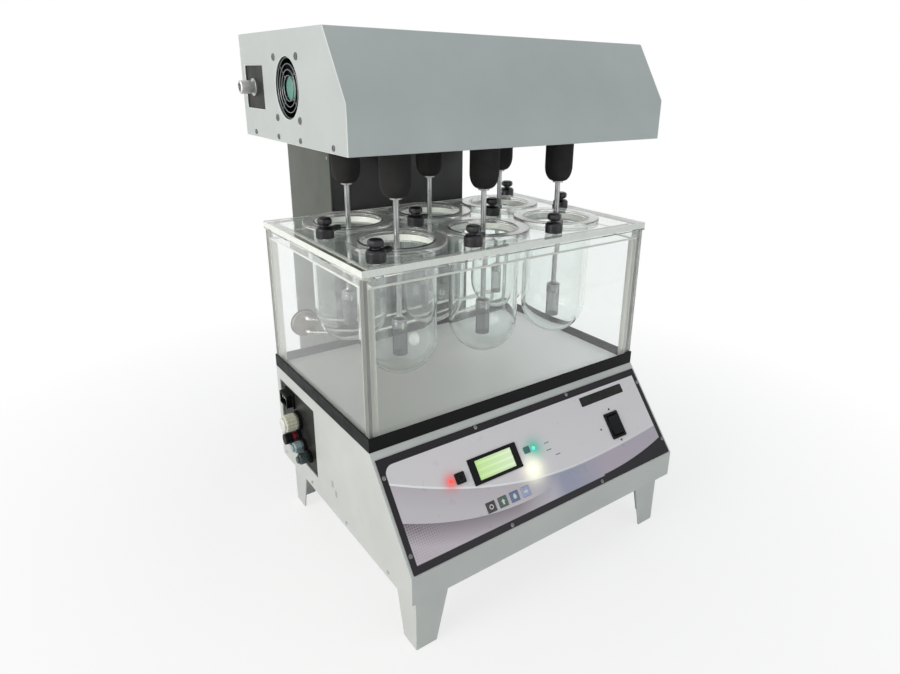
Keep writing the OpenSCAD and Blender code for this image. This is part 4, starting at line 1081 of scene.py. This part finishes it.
def spindlePiece(number):
    # a bar, and a wheel with a rim above and below a slightly crowned face
    s = spindle
    foot, top, r = s["boreTop"] + s["boreEdge"], s["barTop"], s["bar"]
    bar = solidOfTurning(((0, foot), (r, foot), (r, top), (0, top)), s["barRound"])
    bore, low, high = r - s["pulleyIn"], s["pulleyLow"], s["pulleyHigh"]
    wheel = ((bore, low - s["rimThick"]), (s["rim"], low - s["rimThick"]), (s["rim"], low),
             (s["pulley"], low + s["crown"]), (s["pulley"], high - s["crown"]), (s["rim"], high),
             (s["rim"], high + s["rimThick"]), (bore, high + s["rimThick"]))
    wheel = turned(softened(wheel, s["crown"], 3, True) * mm, 64, True)
    parts = [(onSpindle(shape, number), finish[look])
             for shape, look in ((bar, "turnedSteel"), (wheel, "castAluminium"))]
    newPiece(f"spindle-bar-{number}", parts, f"spindle_{number}", 40.0, (f"chuck_{number}",))


def shaftPiece(number):
    # a rod with the collar under the sleeve and a neck that widens to the carrier, with a groove round that
    s = spindle
    top = (box(f"shaft_{number}")[1][2] - lidHigh[2]) / mm
    foot, r, wide, under = s["carrierFoot"], s["shaft"], s["basket"], s["sleeveFoot"] - 0.05
    neck, shoulder = foot + s["carrierHigh"], s["sleeveFoot"] - s["collarThick"]
    profile = ((0, foot), (wide - 0.2, foot), (wide - 0.2, foot + 5.5), (wide - 1.2, foot + 6),
               (wide - 1.2, foot + 7.4), (wide, foot + 8), (wide, neck - 3), (r + 1, neck), (r, neck + 2.5),
               (r, shoulder - 0.6), (s["collar"], shoulder), (s["collar"], under), (r, under), (r, top),
               (0, top))
    parts = [(onSpindle(solidOfTurning(profile, 0.5, 3, 40), number), finish["shaftSteel"])]
    for turn in range(s["clips"]):
        clip = roundedBox(np.array(s["clipLow"]) * mm, np.array(s["clipHigh"]) * mm, 0.4 * mm, 2)
        clip = shifted(clip, np.array((wide, 0, foot)) * mm)
        twist = turn * 2 * math.pi / s["clips"] + s["clipTurn"]
        parts.append((onSpindle(clip, number, twist), finish["zincPlate"]))
    newPiece(f"basket-shaft-{number}", parts, f"spindle_{number}", 38.0, (f"shaft_{number}",))


def basketPiece(number):
    # a hoop's radius swings once for two uprights, and the next hoop swings the other way, so each passes
    # the uprights in front and behind by turns
    s, w = spindle, weave
    r, foot, high, wire = s["basket"] - w["inset"], s["basketFoot"], s["basketHigh"], w["wire"] * mm
    up = np.array((0.0, 0.0, 1.0))
    a = np.arange(w["along"]) * 2 * math.pi / w["along"]
    out = np.stack((np.cos(a), np.sin(a), np.zeros(w["along"])), 1)
    k = np.arange(w["hoops"])
    radius = r + w["inOut"] * np.cos(w["uprights"] / 2 * a[None] + k[:, None] * math.pi)
    level = foot + w["hoopFrom"] + (high - 2 * w["hoopFrom"]) * k / (w["hoops"] - 1)
    levels = np.broadcast_to(level[:, None, None], (w["hoops"], w["along"], 1))
    hoops = np.concatenate((radius[..., None] * out[None, :, :2], levels), 2) * mm
    b = (np.arange(w["uprights"]) + 0.5) * 2 * math.pi / w["uprights"]
    radial = np.stack((np.cos(b), np.sin(b), np.zeros(w["uprights"])), 1)
    sideways = np.stack((-np.sin(b), np.cos(b), np.zeros(w["uprights"])), 1)
    heights = np.linspace(foot + 0.6, foot + high - 0.8, 4)
    posts = (radial[:, None] * r + up * heights[None, :, None]) * mm
    shapes = [wires(hoops, out[None], up, wire, 4, True),
              wires(posts, radial[:, None], sideways[:, None], wire, 4)]
    # rows in the bottom reach the circle on both sides; the second layer lies across the first
    offsets = (np.arange(w["crossed"]) - w["crossed"] // 2) * w["crossPitch"]
    fixed = np.broadcast_to(offsets[:, None], (len(offsets), 3))
    run = np.sqrt(np.maximum(r ** 2 - offsets ** 2, 0.1))[:, None] * np.linspace(-1, 1, 3)
    for layer, (pair, side) in enumerate((((fixed, run), (1.0, 0, 0)), ((run, fixed), (0, 1.0, 0)))):
        level = np.full((*fixed.shape, 1), foot + w["crossUp"] + w["crossStep"] * layer)
        bottom = np.concatenate((np.stack(pair, -1), level), 2) * mm
        shapes.append(wires(bottom, np.array(side), up, wire, 4))
    for start, tall in w["bands"]:
        inner, outer, low = r - w["bandIn"], r + w["bandOut"], foot + start
        band = ((inner, low), (outer, low), (outer, low + tall), (inner, low + tall))
        shapes.append(turned(softened(band, w["bandRound"], 2, True) * mm, 48, True))
    newPiece(f"basket-mesh-{number}", [(onSpindle(shape, number), finish["wireSteel"]) for shape in shapes],
             f"spindle_{number}", 60.0, (f"basket_{number}",))


for number in range(1, 7):
    sleevePiece(number)
    spindlePiece(number)
    shaftPiece(number)
    basketPiece(number)
print("spindles, shafts and baskets made")


# Left side of the base: inlet, round fittings and two slots

# places are back from the bath's front and up from its foot, in mm; a fitting is its place, radius, reach,
# the finishes of body and cap, its ridges, where its cap starts and how far the cap is set in
baseSide = {"plateAcross": -253.0, "wallAcross": -255.0, "inlet": (285.0, -38.0), "inletEdge": (0.6 * mm, 2),
            "bladeIn": 6.1, "bladePitch": 7.0, "bladeHalf": (4.2, 1.15, 2.15), "bladeEdge": 0.3 * mm,
            "fittings": ((251.0, -67.0, 14.5, 26.0, "creamPlastic", "whitePlastic", 14, 25.0, 3.0),
                         (255.0, -97.0, 9.0, 26.0, "redPlastic", "trimBlack", 10, 14.0, 0.0),
                         (233.0, -104.0, 9.0, 20.0, "bluePlastic", "bluePlastic", 8, 19.0, 3.0),
                         (213.0, -115.0, 9.0, 20.0, "fittingDark", "fittingDark", 12, 19.0, 3.0)),
            "nutWider": 2.0, "nutHigh": 5.6, "ridgeDeep": 0.09, "capHigh": 3.0,
            "slots": ((127.0, -118.5), (115.5, -130.0)), "slotHalf": (3.25, 5.5), "slotIn": 0.8,
            "slotOut": 0.35, "slotEdge": 0.3 * mm}
outLeft, outRight = (-1, 0, 0), (1, 0, 0)
dressed("mains_inlet", finish["trimBlack"], baseSide["inletEdge"])
blades = []
for shift in (-1, 0, 1):
    y, z = baseSide["inlet"]
    middle = fromBath(baseSide["plateAcross"] - baseSide["bladeIn"], y + shift * baseSide["bladePitch"], z)
    half = np.array(baseSide["bladeHalf"]) * mm
    blades.append((roundedBox(middle - half, middle + half, baseSide["bladeEdge"], 2), finish["zincPlate"]))
newPiece("inlet-blades", blades, "root", 40.0)


def sideFitting(y, z, r, reach, bodyLook, capLook, ridges, capFrom, capInset):
    # a six-sided nut, a ridged body and a cap, turned outwards from the dark plate
    wide, high = r + baseSide["nutWider"], baseSide["nutHigh"]
    nut = solidOfTurning(((0, -0.5), (wide, -0.5), (wide, high), (0, high)), (0, 0.6, 0.9, 0), 3, 6)
    body = ((0, 4), (r * 0.88, 4), (r * 0.88, 7), (r, 8), (r, reach - 1.5), (r - 1.5, reach), (0, reach))
    body = solidOfTurning(body, (0, 0, 0.4, 0.8, 0.8, 0.8, 0), 3, ridges * 8, ridges, baseSide["ridgeDeep"])
    wide, top = r - capInset + 0.05, reach + (baseSide["capHigh"] if capInset else 0.1)
    cap = solidOfTurning(((0, capFrom), (wide, capFrom), (wide, top), (0, top)), (0, 0, 1.0, 0))
    place = fromBath(baseSide["plateAcross"], y, z)
    return [(moved(shape, place, outLeft), finish[look])
            for shape, look in ((nut, "trimBlack"), (body, bodyLook), (cap, capLook))]


fittings = [part for fitting in baseSide["fittings"] for part in sideFitting(*fitting)]
newPiece("side-fitting-set", fittings, "root", 30.0, ("side_fittings",))
slots = []
for y, z in baseSide["slots"]:
    wide, tall = baseSide["slotHalf"]
    shape = roundedBox(fromBath(baseSide["wallAcross"] - baseSide["slotOut"], y - wide, z - tall),
                       fromBath(baseSide["wallAcross"] + baseSide["slotIn"], y + wide, z + tall),
                       baseSide["slotEdge"], 2)
    slots.append((shape, finish["slotGrey"]))
newPiece("side-slots", slots, "root", 40.0)
print("left side of the base fitted")


# Head: folded cover, fan with its guard, connector and screws

head = {"bend": (1.8 * mm, 3), "frameEdge": (0.8 * mm, 2), "outerAcross": -265.0, "innerAcross": -263.0}
fan = {"place": (168.0, 449.0), "rings": (15.5, 22.5, 29.5, 36.8), "wire": 0.7, "guardAcross": -261.9,
       "spokes": 4, "spoke": (14.5, 26.0, 37.9), "spokeUnder": 1.1, "hub": 16.0, "hubHalf": 8.4,
       "disc": 15.0, "blades": 7, "bladeFrom": 14.5, "bladeTo": 36.6, "chord": 17.0, "chordFrom": 0.82,
       "chordMore": 0.3, "thick": 1.3, "hollow": 0.9, "pitch": 52.0, "pitchLess": 20.0, "sweep": 0.25,
       "rows": 9, "around": 16}
connector = {"place": (291.0, 448.0), "radius": 9.0, "reach": 22.0, "plateHalf": (39.2, 32.2),
             "plateMiddle": 287.0, "plateDeep": 3.0, "plateEdge": 0.4 * mm, "ridges": 24,
             "ridgeDeep": 0.07}
headLow, headHigh = box("head_cover")
dressed("head_cover", finish["headCoat"], head["bend"])
dressed("fan_frame", finish["trimBlack"], head["frameEdge"])


def fanRotor():
    # a blade's section is an ellipse, slightly hollow, whose chord, pitch and place round the hub change with
    # its distance from the hub
    f = fan
    r, half = f["hub"], f["hubHalf"]
    hub = solidOfTurning(((0, -half), (r, -half), (r, half), (0, half)), (0, 0.6, 2.0, 0))
    low, high, wide = half - 0.4, half + 0.15, f["disc"]
    disc = solidOfTurning(((0, low), (wide, low), (wide, high), (0, high)), 0.1, 2)
    share = np.linspace(0, 1, f["rows"])[:, None]
    radius = f["bladeFrom"] + (f["bladeTo"] - f["bladeFrom"]) * share
    around = np.arange(f["around"]) * 2 * math.pi / f["around"]
    pitch = np.radians(f["pitch"] - f["pitchLess"] * share)
    along = f["chord"] / 2 * (f["chordFrom"] + f["chordMore"] * share) * np.cos(around)
    thick = f["thick"] / 2 * np.sin(around) + f["hollow"] * np.cos(around) ** 2
    sideways = along * np.cos(pitch) - thick * np.sin(pitch)
    out = np.clip(along * np.sin(pitch) + thick * np.cos(pitch), -half, half)
    first = np.arange(f["around"])
    ends = [first.tolist(), (first + (f["rows"] - 1) * f["around"]).tolist()]
    faces = gridFaces(f["rows"], f["around"], False, True) + ends
    parts = [(hub, "trimBlack"), (disc, "hubTeal")]
    for number in range(f["blades"]):
        angle = number * 2 * math.pi / f["blades"] + f["sweep"] * share + sideways / radius
        points = np.stack((radius * np.cos(angle), radius * np.sin(angle), out), -1).reshape(-1, 3) * mm
        parts.append(((points, faces), "trimBlack"))
    low, high = box("fan_rotor")
    where = ((low + high)[0] / 2, *joints["fan"]["pos_m"][1:])
    newPiece("fan-wheel", [(moved(shape, where, outLeft), finish[look]) for shape, look in parts], "fan",
             40.0, ("fan_rotor",))


def fanGuard():
    # rings and straight spokes of round wire, all within the opening
    f = fan
    place, wire, up = fromBath(f["guardAcross"], *f["place"]), f["wire"] * mm, np.array((0, 0, 1.0))
    shapes = [turned((ring(f["wire"], 8) + (radius, 0)) * mm, 56, True) for radius in f["rings"]]
    for number in range(f["spokes"]):
        a = (number + 0.5) * 2 * math.pi / f["spokes"]
        out = np.array((math.cos(a), math.sin(a), 0.0))
        line = np.array([out * radius * mm - up * f["spokeUnder"] * mm for radius in f["spoke"]])[None]
        shapes.append(wires(line, np.array((-out[1], out[0], 0.0)), up, wire, 8))
    newPiece("fan-guard", [(moved(shape, place, outLeft), finish["guardWire"]) for shape in shapes], "head",
             50.0)


def connectorPiece():
    # a flange with a short sleeve, a ridged grip with a hollow end, its dark core, and the plate behind them
    c = connector
    y, z = c["place"]
    middle, (wide, tall) = c["plateMiddle"], c["plateHalf"]
    across, deep = head["innerAcross"], c["plateDeep"]
    backPlate = roundedBox(fromBath(across + 0.05, middle - wide, z - tall),
                           fromBath(across + deep, middle + wide, z + tall), c["plateEdge"])
    r, reach = c["radius"], c["reach"]
    flange = solidOfTurning(((0, -0.5), (r + 3, -0.5), (r + 3, 3), (0, 3)), (0, 0.3, 0.8, 0))
    sleeve = solidOfTurning(((0, 2), (r - 1.6, 2), (r - 1.6, 7), (0, 7)), 0)
    end = reach - 0.1
    grip = softened(((4.5, 5.5), (r - 0.8, 5.5), (r, 6.3), (r, reach - 1.2), (r - 1.4, end), (6.2, end),
                     (6.2, reach - 5), (4.5, reach - 5)), 0.5, 3, True)
    grip = turned(grip * mm, 144, True, c["ridges"], c["ridgeDeep"])
    core = solidOfTurning(((0, 6), (5.2, 6), (5.2, reach - 6), (0, reach - 6)), (0, 0, 0.5, 0))
    turnedParts = ((flange, "zincPlate"), (sleeve, "zincPlate"), (grip, "castBright"), (core, "darkPlate"))
    place = fromBath(across, y, z)
    parts = [(moved(shape, place, outLeft), finish[look]) for shape, look in turnedParts]
    newPiece("head-socket", [(backPlate, finish["darkPlate"])] + parts, "head", 38.0,
             ("head_connector",))


fanRotor()
fanGuard()
connectorPiece()

# Screws of the head and column: a kind's radius and height, and its finish where it isn't plated
screws = {"fanHalf": 37.5, "fan": (4.5 * mm, 1.8 * mm, "dullSteel"),
          "edgeBack": (295.0, 207.0, 133.0, 37.0), "edgeUp": 387.0,
          "edge": (3.6 * mm, 1.5 * mm, "dullSteel"),
          "flat": ((0, -0.4), (3.6, -0.4), (3.6, 0.03), (0, 0.03)), "cross": ((4.2, 0.9), (0.9, 4.2)),
          "crossHigh": 0.04 * mm, "crossTurn": 0.5, "backAcross": (-0.2, 0.012, 0.224),
          "backUp": (8, 120), "back": (2.8 * mm, 1.5 * mm), "columnIn": 8 * mm,
          "columnUp": (0.11, 0.3, 0.45, 0.6), "column": (2.4 * mm, 1.2 * mm)}
fanY, fanZ = fan["place"]
fanPlaces = [fromBath(head["outerAcross"], fanY + sideY * screws["fanHalf"], fanZ + sideZ * screws["fanHalf"])
             for sideY in (-1, 1) for sideZ in (-1, 1)]
screwRow("fan-screws", fanPlaces, outLeft, "head", "bright_steel", *screws["fan"])
edgePlaces = {side: [fromBath(-side * head["outerAcross"], y, screws["edgeUp"]) for y in screws["edgeBack"]]
              for side in (-1, 1)}
screwRow("cover-screws-left", edgePlaces[-1], outLeft, "head", "bright_steel", *screws["edge"])
# on the right they are let into the sheet: flat heads with a cross of dark plate on top, painted shade where
# the recess would be
flat = []
for place in edgePlaces[1]:
    flat.append((moved(solidOfTurning(screws["flat"], 0.0), place, outRight), finish["zincPlate"]))
    for wide, high in screws["cross"]:
        crossArmPaintedShade = plate(rectangle(wide, high) * mm, 0.0, screws["crossHigh"])
        flat.append((moved(crossArmPaintedShade, place, outRight, screws["crossTurn"]), finish["darkPlate"]))
newPiece("cover-screws-right", flat, "head", 40.0)
backPlaces = [(x, headHigh[1], headLow[2] + z * mm) for x in screws["backAcross"] for z in screws["backUp"]]
screwRow("cover-screws-back", backPlaces, (0, 1, 0), "head", "bright_steel", *screws["back"])
columnSides = (("column-screws", columnLow[0], outLeft), ("column-screws-right", columnHigh[0], outRight))
for name, x, out in columnSides:
    places = [(x, columnLow[1] + screws["columnIn"], z) for z in screws["columnUp"]]
    screwRow(name, places, out, "root", "bright_steel", *screws["column"])
print("head fitted")


# Plain studio: pale floor that fades into white, a large lamp at the left, one above and a low one in front

studio = {"floorHalf": 6.0, "floorDown": 0.3 * mm, "floorTone": "#f2f2f0", "fadeFrom": 0.4, "fadeTo": 1.1,
          "nearWhite": 0.75, "ambient": 0.34, "ambientTone": (0.84, 0.96, 1.0, 1.0)}
white = (1.0, 1.0, 1.0)
# lamps: place, size, power, colour and the point they shine at
softLamps = {"key-lamp": ((-2.6, -0.35, 1.35), 1.9, 48.0, (1.0, 0.96, 0.905), (0.0, -0.05, 0.35)),
             "top-lamp": ((0.1, -0.2, 3.0), 2.4, 9.0, white, (0.0, -0.05, 0.35)),
             "fill-lamp": ((1.0, -2.3, 0.55), 1.6, 9.0, white, (0.0, -0.2, 0.15))}


def studioFloor():
    # where it is seen, directly or in metal or glass, the floor is mostly white by the object and all white
    # further off; the light that it throws on the object has the floor's own tone
    s = studio
    look = Look("paleFloor", s["floorTone"], 0.9)
    look.set("Specular IOR Level", 0.0)
    where = look.add("ShaderNodeTexCoord").outputs["Object"]
    away = look.add("ShaderNodeVectorMath", {0: where}, operation="LENGTH").outputs["Value"]
    fade = look.range(away, s["fadeFrom"], s["fadeTo"], s["nearWhite"], 1.0)
    rays = look.add("ShaderNodeLightPath").outputs
    seen = look.larger(rays["Is Camera Ray"], look.larger(rays["Is Glossy Ray"], rays["Is Transmission Ray"]))
    plain = look.shader.outputs[0]
    pale = look.add("ShaderNodeEmission", {"Color": (*white, 1.0), "Strength": 1.0}).outputs[0]
    mix = look.add("ShaderNodeMixShader", {0: look.times(fade, seen), 1: plain, 2: pale}).outputs[0]
    look.feed(look.out.inputs["Surface"], mix)
    mesh = bpy.data.meshes.new("floor")
    corners = rectangle(2 * s["floorHalf"], 2 * s["floorHalf"])
    mesh.from_pydata([(x, y, -s["floorDown"]) for x, y in corners.tolist()], [], [(0, 1, 2, 3)])
    mesh.materials.append(look.material)
    floor = bpy.data.objects.new("floor", mesh)
    bpy.context.scene.collection.objects.link(floor)


def studioWorld():
    world = bpy.data.worlds.new("studio")
    bpy.context.scene.world = world
    world.use_nodes = True
    tree = world.node_tree
    tree.nodes.clear()
    rays = tree.nodes.new("ShaderNodeLightPath").outputs
    # white is seen directly, in metal and through glass; dull faces behind glass get no extra light from it
    seen = rays["Is Camera Ray"]
    for name, operation in (("Is Glossy Ray", "MAXIMUM"), ("Is Transmission Ray", "MAXIMUM"),
                            ("Diffuse Depth", "SUBTRACT")):
        joined = tree.nodes.new("ShaderNodeMath")
        joined.operation, joined.use_clamp = operation, True
        tree.links.new(seen, joined.inputs[0])
        tree.links.new(rays[name], joined.inputs[1])
        seen = joined.outputs[0]
    grounds = []
    for colour, strength in ((studio["ambientTone"], studio["ambient"]), ((*white, 1.0), 1.0)):
        ground = tree.nodes.new("ShaderNodeBackground")
        ground.inputs["Color"].default_value, ground.inputs["Strength"].default_value = colour, strength
        grounds.append(ground)
    mix = tree.nodes.new("ShaderNodeMixShader")
    for socket, source in enumerate((seen, *(ground.outputs[0] for ground in grounds))):
        tree.links.new(source, mix.inputs[socket])
    tree.links.new(mix.outputs[0], tree.nodes.new("ShaderNodeOutputWorld").inputs["Surface"])


def softLamp(name, place, size, power, colour, towards):
    data = bpy.data.lights.new(name, "AREA")
    data.color = colour
    data.shape, data.size, data.energy = "DISK", size, power
    lampObject = bpy.data.objects.new(name, data)
    bpy.context.scene.collection.objects.link(lampObject)
    lampObject.location = place
    lampObject.rotation_euler = (Vector(place) - Vector(towards)).to_track_quat("Z", "Y").to_euler()


studioFloor()
studioWorld()
for name, settings in softLamps.items():
    softLamp(name, *settings)

# Camera where the photograph was taken from; light passes this often through glass before it is given up
view = {"place": (-0.57599, -0.87403, 0.73066), "yaw": 36.643, "pitch": -19.322, "roll": 0.982,
        "lens": 25.88, "film": 36.0, "shift": (-0.0247, -0.0375), "nearest": 0.05, "bounces": 24,
        "clearBounces": 32}
yaw, pitch, roll = (math.radians(view[name]) for name in ("yaw", "pitch", "roll"))
forward = Vector((math.sin(yaw) * math.cos(pitch), math.cos(yaw) * math.cos(pitch), math.sin(pitch)))
across = Vector((math.cos(yaw), -math.sin(yaw), 0.0))
upwards = across.cross(forward)
rolledAcross = across * math.cos(roll) + upwards * math.sin(roll)
rolledUp = upwards * math.cos(roll) - across * math.sin(roll)
cameraData = bpy.data.cameras.new("camera")
cameraData.lens, cameraData.sensor_width = view["lens"], view["film"]
cameraData.shift_x, cameraData.shift_y = view["shift"]
cameraData.clip_start = view["nearest"]
camera = bpy.data.objects.new("camera", cameraData)
bpy.context.scene.collection.objects.link(camera)
turn = Matrix((rolledAcross, rolledUp, -forward)).transposed().to_4x4()
camera.matrix_world = Matrix.Translation(view["place"]) @ turn
scene = bpy.context.scene
scene.camera = camera
scene.view_settings.view_transform = "Standard"
scene.cycles.transparent_max_bounces = view["clearBounces"]
scene.cycles.transmission_bounces = scene.cycles.max_bounces = view["bounces"]
print("studio and camera set")
